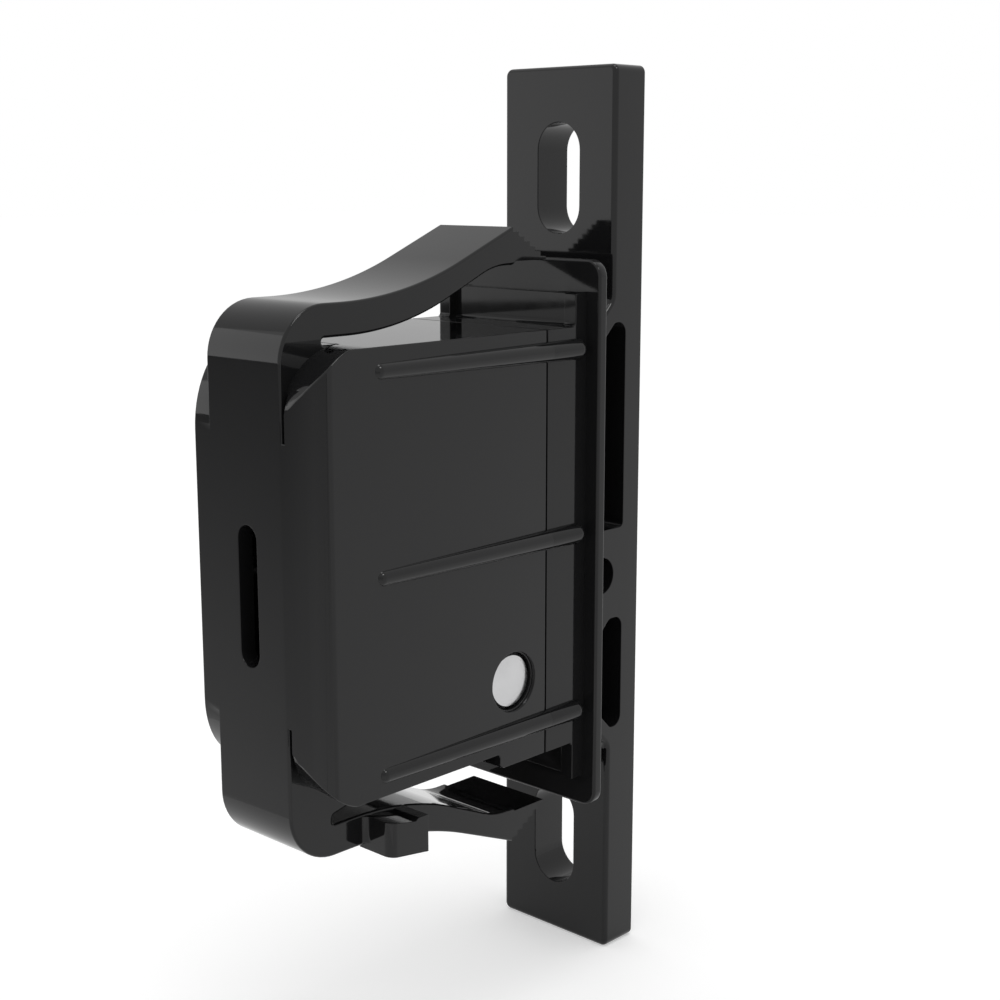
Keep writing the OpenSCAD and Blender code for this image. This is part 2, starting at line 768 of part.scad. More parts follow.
// Keeper bar with its raised block, pockets, screw slots and the socket for the strike
module keeper_bar() {
  half_l = keeper_len / 2;
  half_b = block_len / 2;
  soft = 0.8;
  color("#161617")
    difference() {
      slab(keeper_w)
        polygon(rounded(
          [[bar_x, -half_l], [bar_back_x, -half_l], [bar_back_x, half_l], [bar_x, half_l],
           [bar_x, ramp_half_z], [block_x, half_b], [block_x, -half_b], [bar_x, -ramp_half_z]],
          [soft, soft, soft, soft, 1.5, 1.5, 1.5, 1.5]
        ));
      for (s = [-1, 1])
        plate(bar_x - 1, keeper_t + 2)
          translate([0, s * slot_pitch / 2]) slot_2d(slot_w, slot_len);
      for (side = [-1, 1])
        slab(pocket_depth + 1, side * (keeper_w / 2 + 1 - (pocket_depth + 1) / 2)) {
          polygon(rounded(upper_pocket(), [0.6, pocket_round, 0.8, 0.8, 0.6]));
          polygon(rounded(lower_pocket(), [pocket_round, pocket_round, 0.8, 0.8, 0.8, 0.8]));
        }
      translate([block_x - 1, -stem_w / 2 - slip, strike_z - stem_h / 2 - slip])
        cube([stem_back_x + slip - block_x + 1, stem_w + 2 * slip, stem_h + 2 * slip]);
      rod_y(retaining_pin_d / 2 + fit, keeper_w + 2, retaining_x, strike_z);
    }
}

// Forked strike: a stem in the keeper and two ears that carry the strike pin
module strike_fork() {
  color("#8f9298")
    difference() {
      union() {
        translate([stem_front_x, -ear_outer, strike_z - ear_half_h])
          cube([block_x - 0.3 - stem_front_x, 2 * ear_outer, 2 * ear_half_h]);
        translate([stem_front_x, -stem_w / 2, strike_z - stem_h / 2])
          cube([stem_back_x - stem_front_x, stem_w, stem_h]);
        for (s = [-1, 1])
          slab(ear_t, s * (ear_inner + ear_outer) / 2) {
            rect(strike_x, strike_z - ear_half_h, stem_front_x + 1, strike_z + ear_half_h);
            translate([strike_x, strike_z]) circle(r = ear_half_h, $fn = curve_fn);
          }
      }
      rod_y(strike_pin_d / 2 + slip, 2 * ear_outer + 2, strike_x, strike_z);
      rod_y(retaining_pin_d / 2 + fit, stem_w + 4, retaining_x, strike_z);
    }
}

module strike_pin() {
  color("#c9cacc") rod_y(strike_pin_d / 2, 2 * ear_outer, strike_x, strike_z);
}

// Cross pin that holds the strike in the keeper, sunk below both sides
module retaining_pin() {
  sunk = 2.5;
  color("#8f9298") rod_y(retaining_pin_d / 2, keeper_w - 2 * sunk, retaining_x, strike_z);
}

bezel_frame();
housing_cover();
upper_snap_arm();
lower_snap_arm();
pivot_pin();
near_spacer();
far_spacer();
claw();
claw_bush();
toggle_pin();
trunnion();
toggle_spring();
spring_rod();
spring_collar();
rod_clip();
keeper_bar();
strike_fork();
strike_pin();
retaining_pin();
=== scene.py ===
import bmesh
import bpy
import numpy as np
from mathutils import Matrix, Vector


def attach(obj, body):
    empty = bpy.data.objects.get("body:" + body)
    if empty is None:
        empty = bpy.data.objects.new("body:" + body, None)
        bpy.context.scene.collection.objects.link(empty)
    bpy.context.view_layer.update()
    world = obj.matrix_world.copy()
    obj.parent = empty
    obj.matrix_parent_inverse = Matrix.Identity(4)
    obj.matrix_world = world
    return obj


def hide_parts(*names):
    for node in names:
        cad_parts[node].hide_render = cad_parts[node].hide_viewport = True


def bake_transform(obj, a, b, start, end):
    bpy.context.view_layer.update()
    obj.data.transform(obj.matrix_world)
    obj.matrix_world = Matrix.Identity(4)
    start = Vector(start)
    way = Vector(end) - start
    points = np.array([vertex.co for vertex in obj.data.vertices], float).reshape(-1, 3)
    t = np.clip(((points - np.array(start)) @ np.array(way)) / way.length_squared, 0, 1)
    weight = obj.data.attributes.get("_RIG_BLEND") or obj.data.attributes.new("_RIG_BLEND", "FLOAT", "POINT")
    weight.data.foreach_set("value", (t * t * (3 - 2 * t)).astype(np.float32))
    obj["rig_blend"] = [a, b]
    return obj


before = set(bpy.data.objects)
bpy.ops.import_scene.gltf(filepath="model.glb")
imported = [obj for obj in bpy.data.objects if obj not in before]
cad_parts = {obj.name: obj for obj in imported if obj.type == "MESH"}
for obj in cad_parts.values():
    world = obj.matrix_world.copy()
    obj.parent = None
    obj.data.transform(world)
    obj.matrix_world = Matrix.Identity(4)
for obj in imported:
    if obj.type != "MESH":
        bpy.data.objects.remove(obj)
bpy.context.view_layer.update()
print("frame loaded:", len(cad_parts), "nodes")

mm = 0.001   # every size below is written in millimetres
hair = 0.01  # places closer than this count as one

# places (x, z) and sizes that more than one piece uses
mainPinPlace = (-11.1, -13.2)
togglePinPlace = (-19.439, -7.681)
strutRootPlace = (-28.0, 10.0)
housingFrontX = -37.5
armStartX = -31.0
armRootThick = 3.24
bowHalfWidth = 5.4


def arcPoints(centre, radius, fromDeg, toDeg, steps):
    # points at equal angles on a circle, both ends included
    a = np.radians(np.linspace(fromDeg, toDeg, steps + 1))
    return np.column_stack([centre[0] + radius * np.cos(a), centre[1] + radius * np.sin(a)])


def roundedOutline(corners, steps=8):
    # each corner (a, b, radius) becomes an arc that touches both of its edges
    points = np.array([c[:2] for c in corners], float)
    before = np.roll(points, 1, axis=0)
    after = np.roll(points, -1, axis=0)
    parts = []
    for p0, p1, p2, corner in zip(before, points, after, corners):
        radius = corner[2]
        if radius <= 0:
            parts.append(p1[None])
            continue
        u = (p0 - p1) / np.linalg.norm(p0 - p1)
        w = (p2 - p1) / np.linalg.norm(p2 - p1)
        half = np.arccos(np.clip(u @ w, -1, 1)) / 2
        centre = p1 + (u + w) / np.linalg.norm(u + w) * radius / np.sin(half)
        s = p1 + u * radius / np.tan(half) - centre
        e = p1 + w * radius / np.tan(half) - centre
        a0 = np.degrees(np.arctan2(s[1], s[0]))
        sweep = (np.degrees(np.arctan2(e[1], e[0])) - a0 + 180) % 360 - 180
        parts.append(arcPoints(centre, radius, a0, a0 + sweep, steps))
    return np.vstack(parts)


def slotOutline(centreA, centreB, width, height, steps):
    # an upright slot: two half circles joined by straight sides
    r = width / 2
    top = arcPoints((centreA, centreB + height / 2 - r), r, 0, 180, steps)
    low = arcPoints((centreA, centreB - height / 2 + r), r, 180, 360, steps)
    return np.vstack([top, low])


def editMesh(mesh, *steps):
    # runs each step on the points, edges and faces of the mesh
    work = bmesh.new()
    work.from_mesh(mesh)
    for step in steps:
        step(work)
    work.to_mesh(mesh)
    work.free()


def merge(distance):
    # points closer than the distance become one
    return lambda work: bmesh.ops.remove_doubles(work, verts=work.verts, dist=distance * mm)


def flatten(degrees):
    # faces that lie flatter to each other than the angle become one
    return lambda work: bmesh.ops.dissolve_limit(
        work, angle_limit=np.radians(degrees), verts=work.verts, edges=work.edges)


def turnOutwards(work):
    # the faces of a closed shell point outwards
    bmesh.ops.recalc_face_normals(work, faces=work.faces)


def meshObject(name, points, faces):
    # a new object from points in millimetres and the numbers of each face's points
    mesh = bpy.data.meshes.new(name)
    mesh.from_pydata((np.asarray(points, float) * mm).tolist(), [], faces)
    mesh.update()
    editMesh(mesh, turnOutwards)
    piece = bpy.data.objects.new(name, mesh)
    bpy.context.scene.collection.objects.link(piece)
    return piece


def prism(name, axis, outline, low, high, outlineHigh=None):
    # an outline carried straight along one axis from low to high; the far outline may differ, point for point
    a = np.asarray(outline, float)
    b = a if outlineHigh is None else np.asarray(outlineHigh, float)
    n = len(a)
    order = {"x": (2, 0, 1), "y": (0, 2, 1), "z": (0, 1, 2)}[axis]
    flat = np.vstack([np.column_stack([a, np.full(n, low)]), np.column_stack([b, np.full(n, high)])])
    points = flat[:, order]
    k = np.arange(n)
    sides = np.column_stack([k, (k + 1) % n, (k + 1) % n + n, k + n])
    faces = [list(range(n)), list(range(2 * n - 1, n - 1, -1))] + sides.tolist()
    return meshObject(name, points, faces)


def block(name, low, high):
    # a plain cutter or core between two corners
    outline = [(low[0], low[1]), (high[0], low[1]), (high[0], high[1]), (low[0], high[1])]
    return prism(name, "z", outline, low[2], high[2])


def roundBar(name, centre, radius, low, high, steps=64):
    # a circle about (x, z), without its repeated last point, carried along y
    return prism(name, "y", arcPoints(centre, radius, 0, 360, steps)[:-1], low, high)


def onSide(side, near, far):
    # from near to far along y on one side, which is -1 or 1, with the lower value first
    return sorted((side * near, side * far))


def tube(name, centres, across, beside, radii, sides):
    # on each centre stands a circle: centre + radius * (cos b * across + sin b * beside)
    c, p, q = (np.asarray(v, float)[:, None, :] for v in (centres, across, beside))
    b = (np.arange(sides) * 2 * np.pi / sides)[None, :, None]
    ring = np.asarray(radii, float)[:, None, None] * (np.cos(b) * p + np.sin(b) * q)
    points = (c + ring).reshape(-1, 3)
    rows = len(centres)
    i, k = np.meshgrid(np.arange(rows - 1), np.arange(sides), indexing="ij")
    i, k = i.ravel(), k.ravel()
    k2 = (k + 1) % sides
    walls = np.column_stack([i * sides + k, i * sides + k2, (i + 1) * sides + k2, (i + 1) * sides + k])
    ends = [list(range(sides))[::-1], list(range((rows - 1) * sides, rows * sides))]
    return meshObject(name, points, walls.tolist() + ends)


def lathe(name, centre, stations, radii, sides=96):
    # a turned piece: radius over place along y, about an axis through centre (x, z)
    y = np.asarray(stations, float)
    centres = np.column_stack([np.full(len(y), centre[0]), y, np.full(len(y), centre[1])])
    across = np.tile([1.0, 0, 0], (len(y), 1))
    beside = np.tile([0, 0, 1.0], (len(y), 1))
    return tube(name, centres, across, beside, radii, sides)


def settle(piece):
    # puts the result of the modifiers into the mesh itself
    graph = bpy.context.evaluated_depsgraph_get()
    graph.update()
    shaped = piece.evaluated_get(graph)
    made = bpy.data.meshes.new_from_object(shaped, preserve_all_data_layers=True, depsgraph=graph)
    old = piece.data
    piece.modifiers.clear()
    piece.data = made
    made.name = piece.name
    bpy.data.meshes.remove(old)


def join(piece, *tools, how="UNION"):
    # solid union, difference or intersection with each tool, which is then removed
    for tool in tools:
        step = piece.modifiers.new("join", "BOOLEAN")
        step.operation = how
        step.solver = "EXACT"
        step.object = tool
        settle(piece)
        data = tool.data
        bpy.data.objects.remove(tool)
        bpy.data.meshes.remove(data)
    tidyMesh(piece)
    return piece


def cut(piece, *tools):
    # the piece without the room that the tools take up
    return join(piece, *tools, how="DIFFERENCE")


def tidyMesh(piece, distance=0.004):
    # merges points closer than the distance, drops what then has no area and makes flat faces whole
    def dropSlivers(work):
        bmesh.ops.dissolve_degenerate(work, edges=work.edges, dist=distance * mm)
    editMesh(piece.data, merge(distance), dropSlivers, flatten(0.3))
    piece.data.update()


def edgeFacts(mesh):
    # for each edge between two faces: its number, the place of its middle in millimetres, its direction,
    # both normals, the angle between them and whether the edge stands out
    def read(items, name, kind, width=1):
        values = np.empty(len(items) * width, kind)
        items.foreach_get(name, values)
        return values.reshape(-1, width) if width > 1 else values
    co = read(mesh.vertices, "co", np.float32, 3).astype(float) / mm
    loopEdge = read(mesh.loops, "edge_index", np.int32)
    loopVert = read(mesh.loops, "vertex_index", np.int32)
    start = read(mesh.polygons, "loop_start", np.int32)
    total = read(mesh.polygons, "loop_total", np.int32)
    normals = read(mesh.polygons, "normal", np.float32, 3).astype(float)
    loopFace = np.repeat(np.arange(len(start)), total)
    following = np.arange(len(loopEdge)) + 1
    following[start + total - 1] = start
    order = np.argsort(loopEdge, kind="stable")
    same = loopEdge[order][1:] == loopEdge[order][:-1]
    first, second = order[:-1][same], order[1:][same]
    a, b = co[loopVert[first]], co[loopVert[following[first]]]
    along = b - a
    along /= np.maximum(np.linalg.norm(along, axis=1), 1e-9)[:, None]
    nA, nB = normals[loopFace[first]], normals[loopFace[second]]
    angle = np.degrees(np.arccos(np.clip(np.einsum("ij,ij->i", nA, nB), -1, 1)))
    standsOut = np.einsum("ij,ij->i", nB, np.cross(nA, along)) < 0
    mid = (a + b) / 2
    return {"edge": loopEdge[first], "x": mid[:, 0], "y": mid[:, 1], "z": mid[:, 2], "along": along,
            "nA": nA, "nB": nB, "angle": angle, "standsOut": standsOut}


def softenEdges(piece, width, where=None, segments=3, leastAngle=34, hollows=False):
    # rounds the edges that stand out (or the hollow ones) and that the rule picks, by the given width
    facts = edgeFacts(piece.data)
    chosen = (facts["standsOut"] != hollows) & (facts["angle"] > leastAngle)
    if where is not None:
        chosen &= where(facts)
    weights = np.zeros(len(piece.data.edges), np.float32)
    weights[facts["edge"][chosen]] = 1
    layers, layerName = piece.data.attributes, "bevel_weight_edge"
    layer = layers.get(layerName) or layers.new(layerName, "FLOAT", "EDGE")
    layer.data.foreach_set("value", weights)
    step = piece.modifiers.new("soften", "BEVEL")
    step.limit_method = "WEIGHT"
    step.width = width * mm
    step.segments = segments
    step.use_clamp_overlap = False
    step.miter_outer = "MITER_SHARP"
    settle(piece)
    layer = piece.data.attributes.get(layerName)
    if layer is not None:
        piece.data.attributes.remove(layer)
    return piece


def finishPiece(piece, body, material, nodes, sharp=35):
    # smooth shading that keeps the flat faces flat, then the body, material and the nodes it stands for
    editMesh(piece.data, merge(0.0008))
    piece.data.shade_smooth()
    piece.data.set_sharp_from_angle(angle=np.radians(sharp))
    step = piece.modifiers.new("normals", "WEIGHTED_NORMAL")
    step.weight = 100
    step.keep_sharp = True
    settle(piece)
    piece.data.materials.clear()
    piece.data.materials.append(material)
    if body:
        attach(piece, body)
    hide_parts(*nodes)


def copyNode(name, node):
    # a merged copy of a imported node, with its flat faces made whole again
    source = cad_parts[node]
    mesh = source.data.copy()
    mesh.name = name
    mesh.materials.clear()
    for layer in [m.name for m in mesh.uv_layers]:
        mesh.uv_layers.remove(mesh.uv_layers[layer])
    piece = bpy.data.objects.new(name, mesh)
    bpy.context.scene.collection.objects.link(piece)
    editMesh(mesh, merge(0.002), flatten(0.5), turnOutwards)
    return piece


def emptyTree(owner):
    # turns on the nodes of a material or world and starts from none
    owner.use_nodes = True
    owner.node_tree.nodes.clear()
    return owner.node_tree


def newMaterial(name, shaderType="ShaderNodeBsdfPrincipled"):
    # a material with one shader on its output
    material = bpy.data.materials.new(name)
    tree = emptyTree(material)
    out = tree.nodes.new("ShaderNodeOutputMaterial")
    shader = tree.nodes.new(shaderType)
    tree.links.new(shader.outputs[0], out.inputs["Surface"])
    return material, tree, shader


def objectPlace(tree):
    # Object coordinates, in metres, for the patterns
    return tree.nodes.new("ShaderNodeTexCoord").outputs["Object"]


def noiseNode(tree, place, scale, detail, rough=0.5):
    # cloudy noise, about 0.3 to 0.7, with the given number of clouds per metre
    noise = tree.nodes.new("ShaderNodeTexNoise")
    noise.inputs["Scale"].default_value = scale
    noise.inputs["Detail"].default_value = detail
    noise.inputs["Roughness"].default_value = rough
    tree.links.new(place, noise.inputs["Vector"])
    return noise.outputs["Fac"]


def rangeNode(tree, value, low, high, fromLow=0.3, fromHigh=0.7):
    # carries a value from one range over to another in a straight line
    node = tree.nodes.new("ShaderNodeMapRange")
    node.inputs["From Min"].default_value = fromLow
    node.inputs["From Max"].default_value = fromHigh
    node.inputs["To Min"].default_value = low
    node.inputs["To Max"].default_value = high
    tree.links.new(value, node.inputs["Value"])
    return node.outputs["Result"]


def blendColours(tree, factor, first, second):
    # first * (1 - factor) + second * factor
    node = tree.nodes.new("ShaderNodeMix")
    node.data_type = "RGBA"
    node.inputs[6].default_value = (*first, 1)  # sockets 6 and 7 are the colours
    node.inputs[7].default_value = (*second, 1)
    tree.links.new(factor, node.inputs[0])
    return node.outputs[2]


def bumpNode(tree, height, distance, strength, under=None):
    # tilts the normal by the slope of the height, on top of an earlier bump if there is one
    node = tree.nodes.new("ShaderNodeBump")
    node.inputs["Distance"].default_value = distance
    node.inputs["Strength"].default_value = strength
    tree.links.new(height, node.inputs["Height"])
    if under is not None:
        tree.links.new(under, node.inputs["Normal"])
    return node.outputs["Normal"]


def centredPlace(tree, place, centre):
    # shifts the pattern so that it is centred on the given place
    node = tree.nodes.new("ShaderNodeMapping")
    node.vector_type = "POINT"
    node.inputs["Location"].default_value = tuple(-np.array(centre) * mm)
    tree.links.new(place, node.inputs["Vector"])
    return node.outputs["Vector"]


plastic = {
    "dark": (0.0062, 0.0062, 0.0065), "light": (0.0088, 0.0088, 0.0092), "ior": 1.355,
    "roughLow": 0.045, "roughHigh": 0.085,
    "flowScale": 55.0,     # broad flow marks of the moulding
    "glossScale": 385.0,   # patches of more and less gloss
    "waveScale": 121.0,    # faint waves of the wall
    "grainScale": 2600.0,  # fine skin of the tool surface
    "waveDepth": 6e-6, "waveStrength": 0.35, "grainDepth": 5e-7, "grainStrength": 0.5,
}


def plasticMaterial(name, sizes, seedShift, **changes):
    # black moulded plastic: two near blacks in broad clouds, uneven gloss, faint waves and a fine skin
    sizes = {**sizes, **changes}
    material, tree, shader = newMaterial(name)
    place = centredPlace(tree, objectPlace(tree), (seedShift, seedShift * 0.7, -seedShift))
    clouds = noiseNode(tree, place, sizes["flowScale"], 4.0)
    shader.inputs["IOR"].default_value = sizes["ior"]
    tree.links.new(blendColours(tree, clouds, sizes["dark"], sizes["light"]), shader.inputs["Base Color"])
    gloss = noiseNode(tree, place, sizes["glossScale"], 5.0, 0.6)
    rough = rangeNode(tree, gloss, sizes["roughLow"], sizes["roughHigh"])
    tree.links.new(rough, shader.inputs["Roughness"])
    waves = noiseNode(tree, place, sizes["waveScale"], 1.0)
    grain = noiseNode(tree, place, sizes["grainScale"], 2.0)
    under = bumpNode(tree, waves, sizes["waveDepth"], sizes["waveStrength"])
    normal = bumpNode(tree, grain, sizes["grainDepth"], sizes["grainStrength"], under)
    tree.links.new(normal, shader.inputs["Normal"])
    return material


metal = {
    "ior": 2.2, "cloudScale": 320.0, "glossScale": 1500.0, "smoothest": 0.75, "dullest": 1.3,
    "grainStrength": 0.5, "ringDepth": 3e-6, "ringStrength": 0.6,
}

metals = {
    # darker colour, lighter colour, roughness, scale of the grain, depth of the grain in metres
    "turnedPinSteel": ((0.46, 0.46, 0.465), (0.56, 0.56, 0.565), 0.2, 5200.0, 4e-6),
    "groundPinSteel": ((0.52, 0.52, 0.525), (0.66, 0.66, 0.665), 0.22, 6000.0, 4e-6),
    "blackenedSteel": ((0.035, 0.035, 0.038), (0.07, 0.07, 0.074), 0.36, 4200.0, 4e-6),
    "sinteredSteel": ((0.17, 0.175, 0.185), (0.3, 0.305, 0.315), 0.42, 3000.0, 20e-6),
    "blastedSteel": ((0.24, 0.245, 0.255), (0.36, 0.365, 0.375), 0.5, 5200.0, 16e-6),
    "drawnWire": ((0.42, 0.42, 0.43), (0.58, 0.58, 0.6), 0.24, 7000.0, 4e-6),
    "platedRod": ((0.5, 0.51, 0.52), (0.64, 0.65, 0.66), 0.28, 4800.0, 4e-6),
    "sinteredBronze": ((0.36, 0.24, 0.1), (0.52, 0.37, 0.17), 0.4, 3600.0, 16e-6),
}


def metalMaterial(name, k, ringCentre=None, ringScale=0.0):
    # bare metal: a little darker and lighter in clouds, uneven gloss and fine grain,
    # with turned rings about an axis along y where a scale for them is given
    dark, light, rough, grainScale, grainDepth = metals[name]
    material, tree, shader = newMaterial(name)
    place = objectPlace(tree)
    shader.inputs["Metallic"].default_value = 1.0
    shader.inputs["IOR"].default_value = k["ior"]
    clouds = noiseNode(tree, place, k["cloudScale"], 4.0)
    tree.links.new(blendColours(tree, clouds, dark, light), shader.inputs["Base Color"])
    gloss = noiseNode(tree, place, k["glossScale"], 4.0, 0.6)
    uneven = rangeNode(tree, gloss, rough * k["smoothest"], rough * k["dullest"])
    tree.links.new(uneven, shader.inputs["Roughness"])
    grain = noiseNode(tree, place, grainScale, 3.0)
    normal = bumpNode(tree, grain, grainDepth, k["grainStrength"])
    if ringScale:
        rings = tree.nodes.new("ShaderNodeTexWave")
        rings.wave_type = "RINGS"
        rings.rings_direction = "Y"
        rings.wave_profile = "SAW"
        rings.inputs["Scale"].default_value = ringScale
        rings.inputs["Distortion"].default_value = 0.6
        rings.inputs["Detail"].default_value = 2.0
        rings.inputs["Detail Scale"].default_value = 1.2
        tree.links.new(centredPlace(tree, place, ringCentre), rings.inputs["Vector"])
        normal = bumpNode(tree, rings.outputs["Fac"], k["ringDepth"], k["ringStrength"], normal)
    tree.links.new(normal, shader.inputs["Normal"])
    return material


softPlastic = {
    "dark": (0.5, 0.48, 0.42), "light": (0.66, 0.64, 0.57), "ior": 1.48, "roughLow": 0.38, "roughHigh": 0.52,
    "cloudScale": 240.0, "grainScale": 1800.0, "grainDepth": 8e-6, "grainStrength": 0.3,
}


def softPlasticMaterial(name, k):
    # natural, slightly yellow engineering plastic with a dull, even skin
    material, tree, shader = newMaterial(name)
    place = objectPlace(tree)
    shader.inputs["IOR"].default_value = k["ior"]
    clouds = noiseNode(tree, place, k["cloudScale"], 3.0)
    tree.links.new(blendColours(tree, clouds, k["dark"], k["light"]), shader.inputs["Base Color"])
    grain = noiseNode(tree, place, k["grainScale"], 3.0)
    tree.links.new(rangeNode(tree, grain, k["roughLow"], k["roughHigh"]), shader.inputs["Roughness"])
    tree.links.new(bumpNode(tree, grain, k["grainDepth"], k["grainStrength"]), shader.inputs["Normal"])
    return material


housingPlastic = plasticMaterial("housingBlack", plastic, 3.0)
bezelPlastic = plasticMaterial("bezelBlack", plastic, 11.0, ior=1.31,
                               dark=(0.008, 0.008, 0.0083), light=(0.0105, 0.0105, 0.0109))
armPlastic = plasticMaterial("armBlack", plastic, 3.0)
keeperPlastic = plasticMaterial("keeperBlack", plastic, 29.0)
pinSteel = metalMaterial("turnedPinSteel", metal, (mainPinPlace[0], 0, mainPinPlace[1]), 900.0)
smallPinSteel = metalMaterial("groundPinSteel", metal)
blackenedSteel = metalMaterial("blackenedSteel", metal)
clawSteel = metalMaterial("sinteredSteel", metal)
strikeSteel = metalMaterial("blastedSteel", metal)
springSteel = metalMaterial("drawnWire", metal)
rodSteel = metalMaterial("platedRod", metal)
bushBronze = metalMaterial("sinteredBronze", metal)
spacerPlastic = softPlasticMaterial("naturalPlastic", softPlastic)
print("materials ready")


keeper = {
    "halfLength": 50.0, "halfWidth": 8.0, "frontX": 6.7, "backX": 11.7,
    "blockX": 1.45, "blockHalf": 20.0, "rampHalf": 25.25, "rampRound": 1.5,
    "cornerRound": 0.8, "frontRound": 0.55, "backRound": 0.22, "mouthRound": 0.1,
    "slotCentre": 38.1, "slotWidth": 6.0, "slotLength": 12.0,
    "webHalf": 0.8, "hole": (5.275, -5.2), "holeRadius": 2.05,
    # socket for the strike: two opposite corners
    "socket": ((0, -4.01, -8.71), (8.71, 4.01, -1.69)),
    # corners of the pockets on each side of the web: x, z and round
    "upperPocket": [(8.9, -0.05, 0.6), (8.9, 22.75, 1.2), (7.1, 22.75, 0.8), (3.25, 18.9, 0.8),
                    (3.25, -0.05, 0.6)],
    "lowerPocket": [(8.9, -23.15, 1.2), (8.9, -10.35, 1.2), (6.75, -10.35, 0.8), (3.25, -13.85, 0.8),
                    (3.25, -19.3, 0.8), (7.1, -23.15, 0.8)],
}


def keeperBar(k):
    # the side outline is carried across the width and its outer edges are rounded,
    # then slots, pockets, socket and cross hole are cut
    fx, bx, hl, w, ramp = k["frontX"], k["backX"], k["halfLength"], k["halfWidth"], k["rampRound"]
    outline = roundedOutline([
        (fx, -hl, 0), (bx, -hl, 0), (bx, hl, 0), (fx, hl, 0),
        (fx, k["rampHalf"], ramp), (k["blockX"], k["blockHalf"], ramp),
        (k["blockX"], -k["blockHalf"], ramp), (fx, -k["rampHalf"], ramp)], 6)
    bar = prism("keeper_bar_body", "y", outline, -w, w)
    alongX = 0.9     # above this share of its length an edge counts as running along x
    rimWidth = 0.9   # a little more than the round of the corners

    def corners(f):
        # the four short edges at the corners of the bar
        atCorner = (np.abs(f["y"]) > w - hair) & (np.abs(f["z"]) > hl - hair)
        return atCorner & (np.abs(f["along"][:, 0]) > alongX)

    def outerLoop(f, front):
        # the edges round the front faces, or round the back
        atEnd, atSide = np.abs(f["z"]) > hl - rimWidth, np.abs(f["y"]) > w - rimWidth
        meetsSide = np.abs(np.abs(f["nA"][:, 1]) - np.abs(f["nB"][:, 1])) > 0.5
        outer = (np.abs(f["along"][:, 0]) < alongX) & (atSide | atEnd) & (meetsSide | atEnd)
        return outer & ((np.minimum(f["nA"][:, 0], f["nB"][:, 0]) < -0.4) == front)

    softenEdges(bar, k["cornerRound"], corners, segments=6)
    softenEdges(bar, k["frontRound"], lambda f: outerLoop(f, True), segments=4, leastAngle=15)
    softenEdges(bar, k["backRound"], lambda f: outerLoop(f, False) & (np.abs(f["x"] - bx) < hair),
                leastAngle=50)
    tools = []
    for s in (-1, 1):
        slot = slotOutline(0, s * k["slotCentre"], k["slotWidth"], k["slotLength"], 24)
        tools.append(prism("slot", "x", slot, fx - 1, bx + 1))
    for s in (-1, 1):
        for pocket in (k["upperPocket"], k["lowerPocket"]):
            tools.append(prism("pocket", "y", roundedOutline(pocket), *onSide(s, k["webHalf"], w + 1)))
    tools.append(block("socket", *k["socket"]))
    tools.append(roundBar("crossHole", k["hole"], k["holeRadius"], -w - 1, w + 1, 48))
    cut(bar, *tools)
    softenEdges(bar, k["mouthRound"], segments=2, leastAngle=60)
    finishPiece(bar, "keeper", keeperPlastic, ["keeper_bar"])


keeperBar(keeper)
print("keeper bar ready")


rib = {
    "middleZ": 1.1, "pitch": 19.6, "highX": -1.7, "length": 27.5, "highRadius": 1.1, "lowRadius": 0.85,
    "endRadius": 0.03, "sink": 0.4, "wallY": 10.0, "seamX": -6.1, "sides": 40,
}
ribPlaces = [(side, row) for side in (-1, 1) for row in (-1, 0, 1)]


def ribBar(side, row, fromX, toX):
    # a thin bar with round ends that tapers and sinks into the wall: radius and depth change evenly along x
    highX, lowX = rib["highX"], rib["highX"] - rib["length"]
    high, low = rib["highRadius"], rib["lowRadius"]
    bend = np.linspace(0, np.pi / 2, 9)
    xs = np.concatenate([
        lowX - low * np.cos(bend[:-1]), np.linspace(lowX, highX, 13), highX + high * np.sin(bend[1:])])
    xs = np.unique(np.concatenate([xs[(xs > fromX) & (xs < toX)], [max(fromX, xs[0]), min(toX, xs[-1])]]))
    t = np.clip((highX - xs) / rib["length"], 0, 1)
    full = high + (low - high) * t
    beyond = np.where(xs > highX, xs - highX, np.where(xs < lowX, lowX - xs, 0))
    radii = np.sqrt(np.maximum(full ** 2 - beyond ** 2, rib["endRadius"] ** 2))
    y, z = side * (rib["wallY"] - rib["sink"] * t), rib["middleZ"] + row * rib["pitch"]
    centres = np.column_stack([xs, y, np.full(len(xs), z)])
    across = np.tile([0, 1.0, 0], (len(xs), 1))
    beside = np.tile([0, 0, 1.0], (len(xs), 1))
    return tube("rib", centres, across, beside, radii, rib["sides"])


def atRibSeam(f):
    # the ends where a rib passes from the cover to the bezel stay unrounded
    return (np.abs(f["x"] - rib["seamX"]) < 0.03) & (np.abs(f["y"]) > rib["wallY"] + 0.005)


bezel = {
    "width": 23.4, "height": 59.7, "thick": 1.3, "corner": 1.8, "edgeRound": 0.3, "innerRound": 0.08,
    "mouthHalf": 6.5, "mouthTop": 2.5, "mouthLow": -19.5, "mouthCorner": 1.5,
    "halfWidth": 10.0, "postInner": 8.4, "postDepth": 1.8, "postFillet": 0.4,
    "barDepth": 0.85, "barFillet": 0.25, "spigotHalf": 26.4, "insideX": 0.3,
    "baseDepth": 6.1, "baseTop": 23.0, "baseLow": -22.2, "bossRoomRadius": 5.2, "bossRoomHalf": 8.65,
    # the tongue that plugs into the cover and the room inside it: two opposite corners each
    "tongue": ((-9.1, -8.15, -20.35), (-6.0, 8.15, 21.15)),
    "room": ((-10.1, -7.05, -19.25), (0.35, 7.05, 20.05)),
}


def rectCorners(a0, b0, a1, b1, r):
    # the four corners of a rectangle, each with the same round
    return [(a0, b0, r), (a1, b0, r), (a1, b1, r), (a0, b1, r)]


